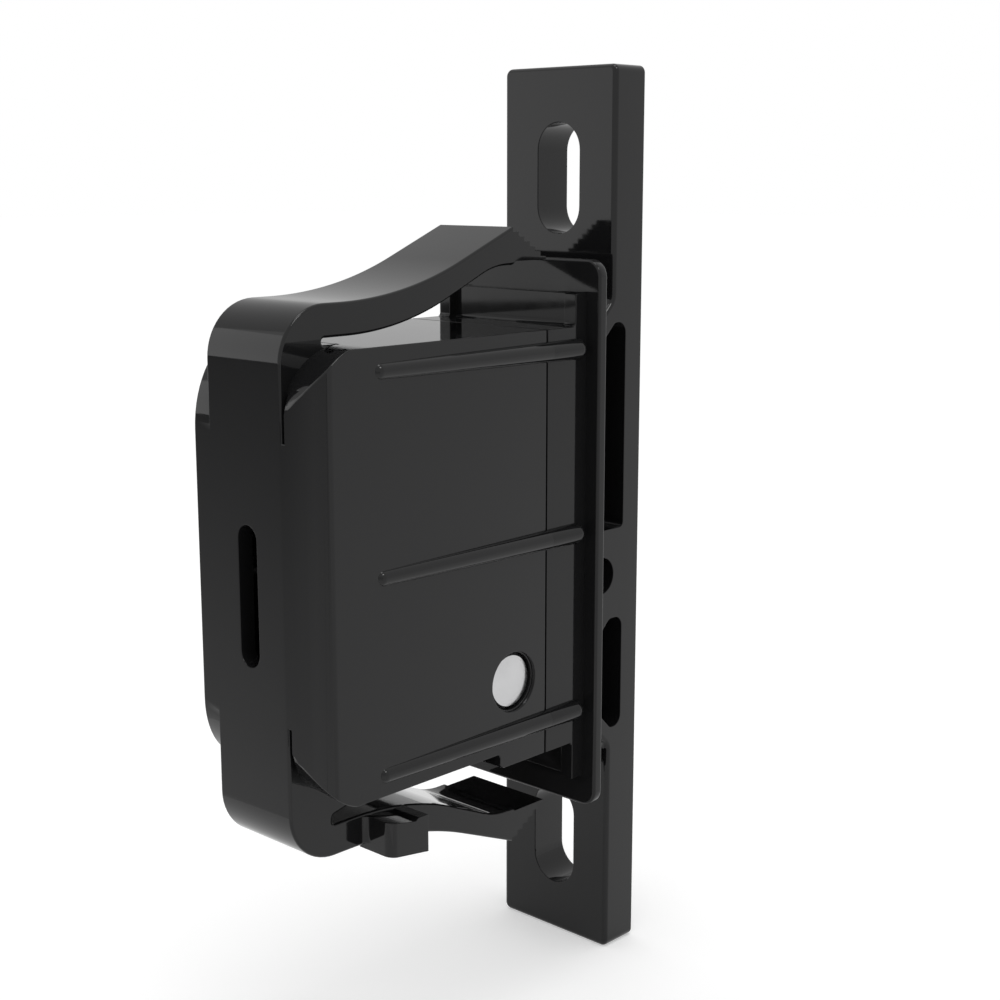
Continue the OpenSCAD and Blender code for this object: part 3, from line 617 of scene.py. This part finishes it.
def bezelFrame(k):
    # flange, corner posts, cross bars and base walls, with the tongue that plugs into the cover
    hw, hh, mouthHalf = k["width"] / 2, k["height"] / 2, k["mouthHalf"]
    rim = roundedOutline(rectCorners(-hw, -hh, hw, hh, k["corner"]), 10)
    flange = prism("bezel_flange", "x", rim, 0, k["thick"])
    softenEdges(flange, k["edgeRound"], segments=4)
    mouth = rectCorners(-mouthHalf, k["mouthLow"], mouthHalf, k["mouthTop"], k["mouthCorner"])
    cut(flange, prism("mouth", "x", roundedOutline(mouth, 8), -1, k["thick"] + 1))

    def sideOutline(depth, fillet, steps):
        # drawn in x and z: the given depth at the top and at the bottom, the base's depth between them
        inX, sp, top, low, base = k["insideX"], k["spigotHalf"], k["baseTop"], k["baseLow"], k["baseDepth"]
        return roundedOutline([
            (inX, sp, 0), (-depth, sp, 0), (-depth, top, fillet), (-base, top, 0),
            (-base, low, 0), (-depth, low, fillet), (-depth, -sp, 0), (inX, -sp, 0)], steps)

    def innerEdges(f):
        # every edge behind the front face, but not the back of the flange's rim or the cut ends of the ribs
        rimBack = (np.abs(f["x"]) < 0.35) & (np.abs(f["y"]) > 11)
        return (f["x"] < k["thick"] - hair) & ~rimBack & ~atRibSeam(f)

    bars = sideOutline(k["barDepth"], k["barFillet"], 4)
    posts = sideOutline(k["postDepth"], k["postFillet"], 5)
    barHalf = k["postInner"] + 0.4  # a little into the posts
    body = prism("bezel_body", "y", bars, -barHalf, barHalf)
    join(body, *[prism("posts", "y", posts, *onSide(s, k["postInner"], k["halfWidth"])) for s in (-1, 1)])
    join(body, block("tongue", *k["tongue"]))
    cut(body, block("hollow", *k["room"]),
        roundBar("bossRoom", mainPinPlace, k["bossRoomRadius"], -k["bossRoomHalf"], k["bossRoomHalf"]))
    join(body, flange)
    join(body, *[ribBar(side, row, rib["seamX"], 0.0) for side, row in ribPlaces])
    softenEdges(body, k["innerRound"], innerEdges, segments=2, leastAngle=60)
    finishPiece(body, "latch_body", bezelPlastic, ["bezel_frame"])


bezelFrame(bezel)
print("bezel ready")


cover = {
    "top": 23.0, "floor": -20.6, "rearX": -6.3, "tabX": -13.2, "tabLow": -22.2, "halfWidth": 10.0,
    "tabRound": 0.7, "floorRound": 0.4, "edgeRound": 0.12,
    "noseDepth": 2.3, "noseWidth": 5.35, "farFlat": 7.6, "farDepth": 6.0, "cheekRound": 0.14,
    "nearCorner": 7.2, "nearLowCorner": 6.6, "nearLean": 0.0898, "nearLowLean": 0.0636, "leanFromY": -5.6,
    "farCorner": 8.6, "farLowCorner": 8.0,
    "slitTop": 14.4, "slitLow": -12.9, "slitWidth": 0.32, "slitX": -36.6, "slitEndX": -32.3,
    "bowTop": 26.9, "bowLow": -27.2, "bowCorner": 5.5, "bowRound": 0.28,
    "wall": 1.8, "innerCorner": 7.6, "slotZ": -0.9, "slotWidth": 2.75, "slotHeight": 13.9,
    # radius, and near and far end on each side
    "boss": (4.9, 7, 9.5), "bearing": (3.4, 5, 9.5),
    "counterbore": (3.2, 9.6, 11), "stubHole": (1.85, 4, 6.8), "pinHoleRadius": 3.05,
}


def planOutline(k, inset):
    # drawn in x and y: a slope on the far side, and a quarter ellipse from the front to the near side,
    # with a point each time that it has turned by the same angle
    w, x0, rearX = k["halfWidth"] - inset, housingFrontX + inset, 0
    d, b = k["noseDepth"], k["noseWidth"] - inset / 2
    turned = np.linspace(0, np.pi / 2, 10)[::-1]
    a = np.arctan2(d * np.sin(turned), b * np.cos(turned))
    nose = np.column_stack([x0 + d * (1 - np.sin(a)), b - w - b * np.cos(a)])
    far = [(rearX, w), (x0 + k["farDepth"] - 0.8 * inset, w), (x0, k["farFlat"] - 0.7 * inset)]
    return np.vstack([far, nose, [(rearX, -w)]])


def cornerTool(k, flatZ, up, fromY, toY, radius, lean=0.0):
    # the room outside a round between the front and a flat top or floor; a lean moves it out evenly along y
    cx, cz = housingFrontX + radius, flatZ - up * radius
    arc = arcPoints((cx, 0), radius, 180, 90, 16)
    outline = np.vstack([arc, [(cx, 20), (-45, 20), (-45, 0)]]) * (1, up) + (0, cz)
    out = np.array([-1.0, up]) * lean
    near, far = (outline + out * (k["leanFromY"] - y) for y in (fromY, toY))
    return prism("corner", "y", near, fromY, toY, far)


def coverCheeks(k):
    # a side outline carried across the width and trimmed to the plan outline,
    # with its corners rounded and a slit on the near side of the bow
    fx, top, floor, bh = housingFrontX, k["top"], k["floor"], bowHalfWidth
    side = roundedOutline([
        (fx, top, 0), (k["rearX"], top, 0), (k["rearX"], k["tabLow"], 0),
        (k["tabX"], k["tabLow"], k["tabRound"]), (k["tabX"], floor, k["floorRound"]), (fx, floor, 0)], 12)
    body = prism("cover_body", "y", side, -k["halfWidth"] - 1, k["halfWidth"] + 1)
    join(body, prism("plan", "z", planOutline(k, 0), -30, 30), how="INTERSECT")
    for flatZ, up, near, lean, far in (
            (top, 1, k["nearCorner"], k["nearLean"], k["farCorner"]),
            (floor, -1, k["nearLowCorner"], k["nearLowLean"], k["farLowCorner"])):
        cut(body, cornerTool(k, flatZ, up, -12, 0.5 - bh, near, lean),
            cornerTool(k, flatZ, up, 0.4 - bh, 0, near), cornerTool(k, flatZ, up, -0.1, 12, far))

    def noseEdges(f):
        # the edges round the nose, not the upright ones between its facets
        return (f["y"] < -6.2) & (f["x"] < -30.5) & (np.abs(f["along"][:, 2]) < 0.97)

    softenEdges(body, k["cheekRound"], noseEdges, leastAngle=28)
    for z0, z1 in ((k["slitTop"], top + 2), (floor - 2, k["slitLow"])):
        cut(body, block("slit", (fx - 1, -bh - k["slitWidth"], z0), (k["slitX"], 0.1 - bh, z1)))
    return body


def coverBow(k):
    # a side outline, drawn in x and z, carried across the bow's width and rounded where it stands free
    fx, top, floor, bh, ax, sx = housingFrontX, k["top"], k["floor"], bowHalfWidth, armStartX, k["slitEndX"]
    topIn, lowIn = k["bowTop"] - armRootThick, k["bowLow"] + armRootThick
    outline = roundedOutline([
        (fx, k["bowTop"], k["bowCorner"]), (ax, k["bowTop"], 0), (ax, topIn, 0),
        (sx, topIn, 0.32), (sx, top, 0.32), (-30.5, top, 0), (-29, 20, 0),  # the upper gap
        (-29, -19, 0), (-28.6, floor - 0.4, 0), (-29.1, -22.35, 0.5), (sx + 0.1, -22.95, 0.4),  # the lower
        (sx, lowIn, 0.4), (ax, lowIn, 0), (ax, k["bowLow"], 0), (fx, k["bowLow"], k["bowCorner"]),
        (fx, k["slitLow"], 0), (fx, k["slitTop"], 0)], 14)
    bow = prism("bow", "y", outline, -bh, bh)

    def freeEdges(f):
        # long edges on both sides of the bow: its upper end, its lower end and the lower corner of its front
        onSides = (np.abs(f["x"] - ax) > hair) & (np.abs(np.abs(f["y"]) - bh) < hair)
        upper = (f["z"] > k["slitTop"]) & (f["x"] < ax + 0.4)
        return onSides & (upper | (f["z"] < floor - 0.3) | ((f["z"] < k["slitLow"]) & (f["x"] < fx + 1)))

    return softenEdges(bow, k["bowRound"], freeEdges, leastAngle=50)


def coverHollow(k):
    # the side outline and the plan outline again, smaller by the wall
    wall = k["wall"]
    inX, rear, tabX = housingFrontX + wall, k["rearX"] + 1, k["tabX"] + wall
    inside = roundedOutline([
        (inX, k["top"] - wall, k["innerCorner"]), (rear, k["top"] - wall, 0), (rear, k["tabLow"] + wall, 0),
        (tabX, k["tabLow"] + wall, k["tabRound"]), (tabX, k["floor"] + wall, k["floorRound"]),
        (inX, k["floor"] + wall, k["innerCorner"])], 8)
    hollow = prism("hollow", "y", inside, -k["halfWidth"] + wall, k["halfWidth"] - wall)
    return join(hollow, prism("plan", "z", planOutline(k, wall), -30, 30), how="INTERSECT")


def housingCover(k):
    # cheeks and bow in one, made hollow; then bosses and bearings, the holes and slots, and the ribs
    body = join(coverCheeks(k), coverBow(k))
    cut(body, coverHollow(k))
    bosses = []
    for s in (-1, 1):
        for name, place in (("boss", mainPinPlace), ("bearing", strutRootPlace)):
            radius, near, far = k[name]
            bosses.append(roundBar(name, place, radius, *onSide(s, near, far)))
    join(body, *bosses)

    holes = [roundBar("pinHole", mainPinPlace, k["pinHoleRadius"], -12, 12)]
    boreRadius, boreNear, boreFar = k["counterbore"]
    stub, stubNear, stubFar = k["stubHole"]
    tx, tz = strutRootPlace
    stubOutline = np.vstack([
        arcPoints((tx, tz), stub, 90, 270, 16), [(tx + 5, tz - stub), (tx + 5, tz + stub)]])
    for s in (-1, 1):
        holes.append(roundBar("counterbore", mainPinPlace, boreRadius, *onSide(s, boreNear, boreFar)))
        holes.append(prism("stubHole", "y", stubOutline, *onSide(s, stubNear, stubFar)))
    longSlot = slotOutline(0, k["slotZ"], k["slotWidth"], k["slotHeight"], 20)
    holes.append(prism("longSlot", "x", longSlot, housingFrontX - 1, housingFrontX + k["wall"] + 1))
    cut(body, *holes)
    join(body, *[ribBar(side, row, -50, rib["seamX"] - 0.01) for side, row in ribPlaces])

    def freeEdges(f):
        # every edge, apart from the cut ends of the ribs and the faces that meet the snap arms
        atArm = (np.abs(f["x"] - armStartX) < hair) & (np.abs(f["z"]) > 23)
        return ~atRibSeam(f) & ~atArm

    softenEdges(body, k["edgeRound"], freeEdges, segments=2, leastAngle=50)
    finishPiece(body, "latch_body", housingPlastic, ["housing_cover"])


housingCover(cover)
print("housing cover ready")


arm = {
    "sweepX": -30.0, "sweepRadius": 42.0, "slope": 22.7, "cornerX": -6.35,
    "steps": 6, "run": 0.84, "rise": 0.525, "tipThick": 0.35, "tipLip": 0.4,
    "innerFlatX": -7.2, "innerEnd": 9.0, "innerSlope": 23.5, "innerSweep": 34.0,
    "sideRound": 0.28, "stepRound": 0.05, "lugFillet": 0.7, "bendEndX": -27.9,
}


def armOutline(k, outerZ):
    # outer face: a flat, then a sweep into a slope; end: even steps; inner face: a sweep up and into a flat
    sl, isl = np.radians(k["slope"]), np.radians(k["innerSlope"])
    endX = k["sweepX"] + k["sweepRadius"] * np.sin(sl)
    endZ = outerZ + k["sweepRadius"] * (1 - np.cos(sl))
    cornerZ = endZ + (k["cornerX"] - endX) * np.tan(sl)
    tipZ = cornerZ - k["steps"] * k["rise"]
    flatZ = tipZ - k["tipThick"] - k["tipLip"]
    rootZ = outerZ - armRootThick
    dipX = k["innerFlatX"] - k["innerEnd"] * np.sin(isl)
    dipZ = flatZ - k["innerEnd"] * (1 - np.cos(isl))
    joinZ = rootZ + k["innerSweep"] * (1 - np.cos(isl))
    joinX = dipX - (dipZ - joinZ) / np.tan(isl)
    i = np.arange(k["steps"])
    treads = np.empty((2 * k["steps"], 2))
    treads[0::2] = np.column_stack([k["cornerX"] + i * k["run"], cornerZ - (i + 1) * k["rise"]])
    treads[1::2] = treads[0::2] + (k["run"], 0)
    lastX, underZ = k["cornerX"] + k["steps"] * k["run"], tipZ - k["tipThick"]
    innerStart = joinX - k["innerSweep"] * np.sin(isl)
    lead = np.linspace(armStartX, min(k["sweepX"], innerStart), 4)[:-1]
    return np.vstack([
        np.column_stack([lead, np.full(3, outerZ)]),
        arcPoints((k["sweepX"], outerZ + k["sweepRadius"]), k["sweepRadius"], -90, -90 + k["slope"], 28),
        [(k["cornerX"], cornerZ)], treads,
        [(lastX, underZ), (k["cornerX"] + 0.35, underZ), (k["cornerX"] - 0.05, flatZ)],
        arcPoints((k["innerFlatX"], flatZ - k["innerEnd"]), k["innerEnd"], 90, 90 + k["innerSlope"], 12),
        arcPoints((innerStart, rootZ + k["innerSweep"]), k["innerSweep"], -90 + k["innerSlope"], -90, 24),
        np.column_stack([np.linspace(innerStart, armStartX, 5)[1:], np.full(4, rootZ)])])


def snapArm(k, name, up, outerZ, node, body, extras=()):
    # the outline carried across the bow's width, long edges rounded, step edges only just broken
    skin = prism(name, "y", armOutline(k, outerZ) * (1, up), -bowHalfWidth, bowHalfWidth)

    def afterRoot(f):
        # not the face that meets the bow
        return f["x"] > armStartX + 0.02

    def longEdges(f):
        # along both sides, from the root to the steps
        return afterRoot(f) & (f["x"] < k["cornerX"]) & (np.abs(np.abs(f["y"]) - bowHalfWidth) < hair)

    def lugCorners(f):
        # the upright hollow edges where the lug leaves the arm's near side
        return (np.abs(f["y"] + bowHalfWidth) < 0.02) & (np.abs(f["along"][:, 2]) > 0.9)

    softenEdges(skin, k["sideRound"], longEdges, leastAngle=50)
    if extras:
        join(skin, *extras)
        softenEdges(skin, k["lugFillet"], lugCorners, segments=4, leastAngle=50, hollows=True)
    softenEdges(skin, k["stepRound"], afterRoot, segments=2, leastAngle=50)
    finishPiece(skin, None, armPlastic, [node])
    z = up * (outerZ - armRootThick / 2) * mm
    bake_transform(skin, "latch_body", body, start=(armStartX * mm, 0, z), end=(k["bendEndX"] * mm, 0, z))


lug = {
    "x0": -27.9, "x1": -22.7, "low0": -27.8, "low1": -28.57, "top0": -24.2, "top1": -25.17, "outY": -9.0,
    "inY": -4.4, "cornerRound": 0.95,
    "ridgeX": -24.5, "ridgeTop": -24.6, "ridgeInY": -4.2, "ridgeRound": 0.6, "ridgeEdge": 0.12,
}


def armLug(k):
    # a plate on the lower arm's near side with its outer corners rounded, and the low ridge at its end
    x0, x1, ridgeX, ridgeTop, base = k["x0"], k["x1"], k["ridgeX"], k["ridgeTop"], k["top1"] - 1
    corners = [(x0, k["low0"]), (x1, k["low1"]), (x1, k["top1"]), (x0, k["top0"])]
    plate = prism("lug", "y", corners, k["outY"], k["inY"])
    softenEdges(plate, k["cornerRound"], lambda f: (f["y"] < k["outY"] + hair) & (f["x"] < x0 + 0.05),
                segments=6, leastAngle=50)
    outline = roundedOutline([(ridgeX, base, 0), (x1, base, 0), (x1, ridgeTop, k["ridgeEdge"]),
                              (ridgeX, ridgeTop, k["ridgeRound"])], 6)
    return plate, prism("ridge", "y", outline, k["outY"], k["ridgeInY"])


snapArm(arm, "upper_arm_skin", 1, cover["bowTop"], "upper_snap_arm", "upper_arm")
snapArm(arm, "lower_arm_skin", -1, -cover["bowLow"], "lower_snap_arm", "lower_arm", armLug(lug))
print("snap arms ready")


def pinEnds(half, radius, chamfer, dome):
    # radius over y: a low dome on each end, a chamfer and the shank
    t = np.array([0.02, 0.25, 0.5, 0.75, 1.0])
    end = (half - dome * t ** 2, (radius - chamfer) * t)
    y = np.concatenate([-end[0], [-half + dome + chamfer], [half - dome - chamfer], end[0][::-1]])
    r = np.concatenate([end[1], [radius, radius], end[1][::-1]])
    return y, r


def turnedPin(name, centre, half, radius, chamfer, dome, body, slotName, material, node):
    # the end and shank profile turned about an axis along y
    y, r = pinEnds(half, radius, chamfer, dome)
    pin = lathe(name, centre, y, r)
    finishPiece(pin, body, material, [node], sharp=25)


pins = [
    # name, centre, half length, radius, chamfer, dome, body, slot, material, node
    ("main_pin", mainPinPlace, 9.65, 3.0, 0.3, 0.26,
     "latch_body", "pin_steel", pinSteel, "pivot_pin"),
    ("toggle_cross_pin", togglePinPlace, 4.9, 1.2, 0.15, 0.03,
     "claw_lever", "pin_steel", smallPinSteel, "toggle_pin"),
    ("strike_cross_pin", (-6.7, -5.2), 5.3, 1.5, 0.15, 0.03,
     "keeper", "pin_steel", smallPinSteel, "strike_pin"),
    ("keeper_cross_pin", keeper["hole"], 5.5, 2.0, 0.2, 0.05,
     "keeper", "dark_steel", blackenedSteel, "retaining_pin"),
]
for pin in pins:
    turnedPin(*pin)
print("pins ready")


spring = {
    # start and end are places along the strut, measured from its root
    "start": 3.0, "end": 13.6, "turns": 6, "wire": 0.9, "coil": 2.65, "closedUp": 0.25, "stepsPerTurn": 28,
}


def toggleSpring(k):
    # wire round the strut's axis: its angle grows evenly, and its place along the axis does too,
    # apart from a slow start and end, where the coils lie closer
    a0, a1 = (np.array([x, 0, z]) for x, z in (strutRootPlace, togglePinPlace))
    axis = (a1 - a0) / np.linalg.norm(a1 - a0)
    side = np.array([0, 1.0, 0])
    third = np.cross(axis, side)
    n = k["turns"] * k["stepsPerTurn"] + 1
    turn = np.linspace(0, k["turns"] * 2 * np.pi, n)
    t = np.linspace(0, 1, n)
    share = t - np.sin(2 * np.pi * t) / (2 * np.pi) * k["closedUp"]
    along = k["start"] + (k["end"] - k["start"]) * share
    out = np.cos(turn)[:, None] * side + np.sin(turn)[:, None] * third
    centres = a0 + along[:, None] * axis + k["coil"] * out
    wire = tube("toggle_spring_wire", centres, out, np.tile(axis, (n, 1)), np.full(n, k["wire"] / 2), 12)
    finishPiece(wire, None, springSteel, ["toggle_spring"], sharp=60)
    start, end = (a0 + along[0] * axis) * mm, (a0 + along[-1] * axis) * mm
    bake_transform(wire, "strut_swivel", "strut_rod", start=tuple(start), end=tuple(end))


toggleSpring(spring)
print("toggle spring ready")


inner = [
    # name, node, body, slot, material, edge width
    ("claw_plate", "claw", "claw_lever", "claw_steel", clawSteel, 0.12),
    ("claw_bearing", "claw_bush", "claw_lever", "bush_bronze", bushBronze, 0.06),
    ("near_spacer_ring", "near_spacer", "latch_body", "spacer_plastic", spacerPlastic, 0.08),
    ("far_spacer_ring", "far_spacer", "latch_body", "spacer_plastic", spacerPlastic, 0.08),
    ("swivel_block", "trunnion", "strut_swivel", "spacer_plastic", spacerPlastic, 0.12),
    ("push_rod", "spring_rod", "strut_rod", "rod_steel", rodSteel, 0.08),
    ("rod_collar", "spring_collar", "strut_rod", "rod_steel", rodSteel, 0.06),
    ("rod_end_clip", "rod_clip", "strut_rod", "dark_steel", blackenedSteel, 0.04),
    ("strike_plate", "strike_fork", "keeper", "strike_steel", strikeSteel, 0.12),
]
for name, node, body, slotName, material, width in inner:
    piece = copyNode(name, node)
    softenEdges(piece, width, segments=2, leastAngle=50)
    finishPiece(piece, body, material, [node])
print("inner pieces ready")


stage = {"floorZ": -50.0, "floorHalf": 3000.0, "white": 0.8, "glow": 0.35, "ambient": 0.82}
lamp = {"place": (-0.05, -0.05, 0.55), "target": (0, 0, 0), "size": 0.2, "watts": 0.5}  # metres
photo = {"place": (-132.26, -121.856, 38.498), "look": (0.714943, 0.672009, -0.193030), "lens": 59.56}

cards = {
    # seen by reflections alone: direction of the middle (degrees), distance, half width, low edge, high edge,
    # and the glow at the low and at the high edge
    "edgeCard": (268.0, 300.0, 70.0, 300.0, 470.0, 9.0, 9.0),
    "softPanel": (133.0, 460.0, 170.0, -50.0, 310.0, 1.8, 1.55),
    "backCard": (75.0, 620.0, 480.0, -50.0, 640.0, 0.62, 0.66),
}

curve = {
    # a round card near the front: directions of its ends (degrees), distance, low and high edge, glow there,
    # and the glow gained from one direction to another
    "from": 100.0, "to": 262.0, "distance": 60.0, "low": -50.0, "high": 20.0,
    "glowLow": 0.86, "glowHigh": 0.21, "gainFrom": 140.0, "gainTo": 190.0, "gain": 0.45,
}


def mathNode(tree, operation, first, second):
    # one sum, product or maximum of two values, each a socket or a number
    node = tree.nodes.new("ShaderNodeMath")
    node.operation = operation
    for value, socket in ((first, node.inputs[0]), (second, node.inputs[1])):
        if isinstance(value, float):
            socket.default_value = value
        else:
            tree.links.new(value, socket)
    return node.outputs[0]


def lightFlag(tree):
    # one where the camera, a reflection or clear stuff looks straight at the surface
    path = tree.nodes.new("ShaderNodeLightPath")
    seen = mathNode(tree, "MAXIMUM", path.outputs["Is Camera Ray"], path.outputs["Is Glossy Ray"])
    return mathNode(tree, "MAXIMUM", seen, path.outputs["Is Transmission Ray"])


def paleFloor(k):
    # a level square: matte white, plus a glow that only the camera and reflections see
    half, z = k["floorHalf"], k["floorZ"]
    corners = [(x, y, z) for x, y, _ in rectCorners(-half, -half, half, half, 0)]
    floor = meshObject("pale_floor", corners, [[0, 1, 2, 3]])
    if floor.data.polygons[0].normal.z < 0:
        floor.data.flip_normals()
    material, tree, add = newMaterial("paleFloor", "ShaderNodeAddShader")
    matte = tree.nodes.new("ShaderNodeBsdfDiffuse")
    matte.inputs["Color"].default_value = (k["white"],) * 3 + (1,)
    glow = tree.nodes.new("ShaderNodeEmission")
    tree.links.new(mathNode(tree, "MULTIPLY", lightFlag(tree), k["glow"]), glow.inputs["Strength"])
    tree.links.new(matte.outputs[0], add.inputs[0])
    tree.links.new(glow.outputs[0], add.inputs[1])
    floor.data.materials.append(material)


def studioWorld(k):
    # white where it is looked at, and a weaker even light on everything else
    world = bpy.data.worlds.new("studio")
    bpy.context.scene.world = world
    tree = emptyTree(world)
    out = tree.nodes.new("ShaderNodeOutputWorld")
    mix = tree.nodes.new("ShaderNodeMixShader")
    tree.links.new(lightFlag(tree), mix.inputs[0])
    for strength, socket in ((k["ambient"], mix.inputs[1]), (1.0, mix.inputs[2])):
        light = tree.nodes.new("ShaderNodeBackground")
        light.inputs["Color"].default_value = (1, 1, 1, 1)
        light.inputs["Strength"].default_value = strength
        tree.links.new(light.outputs[0], socket)
    tree.links.new(mix.outputs[0], out.inputs["Surface"])


def cardMaterial(name, low, high, glowLow, glowHigh):
    # a plain glow that changes evenly from the card's low edge to its high edge
    material, tree, glow = newMaterial(name, "ShaderNodeEmission")
    place = objectPlace(tree)
    split = tree.nodes.new("ShaderNodeSeparateXYZ")
    tree.links.new(place, split.inputs[0])
    level = rangeNode(tree, split.outputs["Z"], glowLow, glowHigh, low * mm, high * mm)
    return material, tree, place, level, glow.inputs["Strength"]


def hideCard(card, material):
    # only reflections see the card
    card.data.materials.append(material)
    card.visible_camera = False
    card.visible_diffuse = False
    card.visible_shadow = False
    card.visible_transmission = False


def reflectionCard(name, azimuth, distance, halfWidth, low, high, glowLow, glowHigh):
    # an upright card that faces the front of the housing
    a = np.radians(azimuth)
    out, along = np.array([np.cos(a), np.sin(a), 0]), np.array([-np.sin(a), np.cos(a), 0])
    middle = np.array([housingFrontX, 0, 0]) + out * distance
    corners = rectCorners(-halfWidth, low, halfWidth, high, 0)
    points = [middle + along * across + (0, 0, z) for across, z, _ in corners]
    card = meshObject(name, points, [[0, 1, 2, 3]])
    material, tree, place, level, strength = cardMaterial(name, low, high, glowLow, glowHigh)
    tree.links.new(level, strength)
    hideCard(card, material)


def curvedCard(k, steps=48):
    # part of a cylinder about the front of the housing; its glow changes with height and with direction
    a = np.radians(np.linspace(k["from"], k["to"], steps + 1))
    x, y = np.cos(a) * k["distance"] + housingFrontX, np.sin(a) * k["distance"]
    points = np.vstack([np.column_stack([x, y, np.full(steps + 1, k[edge])]) for edge in ("low", "high")])
    i = np.arange(steps)
    faces = np.column_stack([i, i + 1, i + steps + 2, i + steps + 1])
    card = meshObject("curved_card", points, faces.tolist())
    material, tree, place, level, strength = cardMaterial(
        "curvedCard", k["low"], k["high"], k["glowLow"], k["glowHigh"])
    turned = tree.nodes.new("ShaderNodeMapping")
    turned.vector_type = "TEXTURE"
    turned.inputs["Location"].default_value = (housingFrontX * mm, 0, 0)
    turned.inputs["Rotation"].default_value = (0, 0, np.pi / 2)
    tree.links.new(place, turned.inputs["Vector"])
    around = tree.nodes.new("ShaderNodeTexGradient")
    around.gradient_type = "RADIAL"
    tree.links.new(turned.outputs["Vector"], around.inputs["Vector"])
    start, end = ((k[name] - 90) / 360 + 0.5 for name in ("gainFrom", "gainTo"))
    side = rangeNode(tree, around.outputs["Fac"], 0.0, k["gain"], start, end)
    tree.links.new(mathNode(tree, "ADD", level, side), strength)
    hideCard(card, material)


def softBox(name, k):
    # a square area lamp that points at its target
    light = bpy.data.lights.new(name, "AREA")
    light.shape = "RECTANGLE"
    light.size = light.size_y = k["size"]
    light.energy = k["watts"]
    holder = bpy.data.objects.new(name, light)
    holder.location = k["place"]
    aim = Vector(k["target"]) - Vector(k["place"])
    holder.rotation_euler = aim.to_track_quat("-Z", "Y").to_euler()
    bpy.context.scene.collection.objects.link(holder)


def photoCamera(k):
    # stands where the photograph was taken from and looks the same way, without a roll
    data = bpy.data.cameras.new("photoCamera")
    data.sensor_width = 36.0
    data.lens = k["lens"]
    data.clip_start, data.clip_end = 0.01, 20.0
    camera = bpy.data.objects.new("photoCamera", data)
    camera.location = Vector(k["place"]) * mm
    camera.rotation_euler = Vector(k["look"]).to_track_quat("-Z", "Y").to_euler()
    bpy.context.scene.collection.objects.link(camera)
    bpy.context.scene.camera = camera


paleFloor(stage)
studioWorld(stage)
softBox("topBox", lamp)
for cardName, cardSizes in cards.items():
    reflectionCard(cardName, *cardSizes)
curvedCard(curve)
photoCamera(photo)
bpy.context.scene.view_settings.view_transform = "Standard"
print("stage ready")
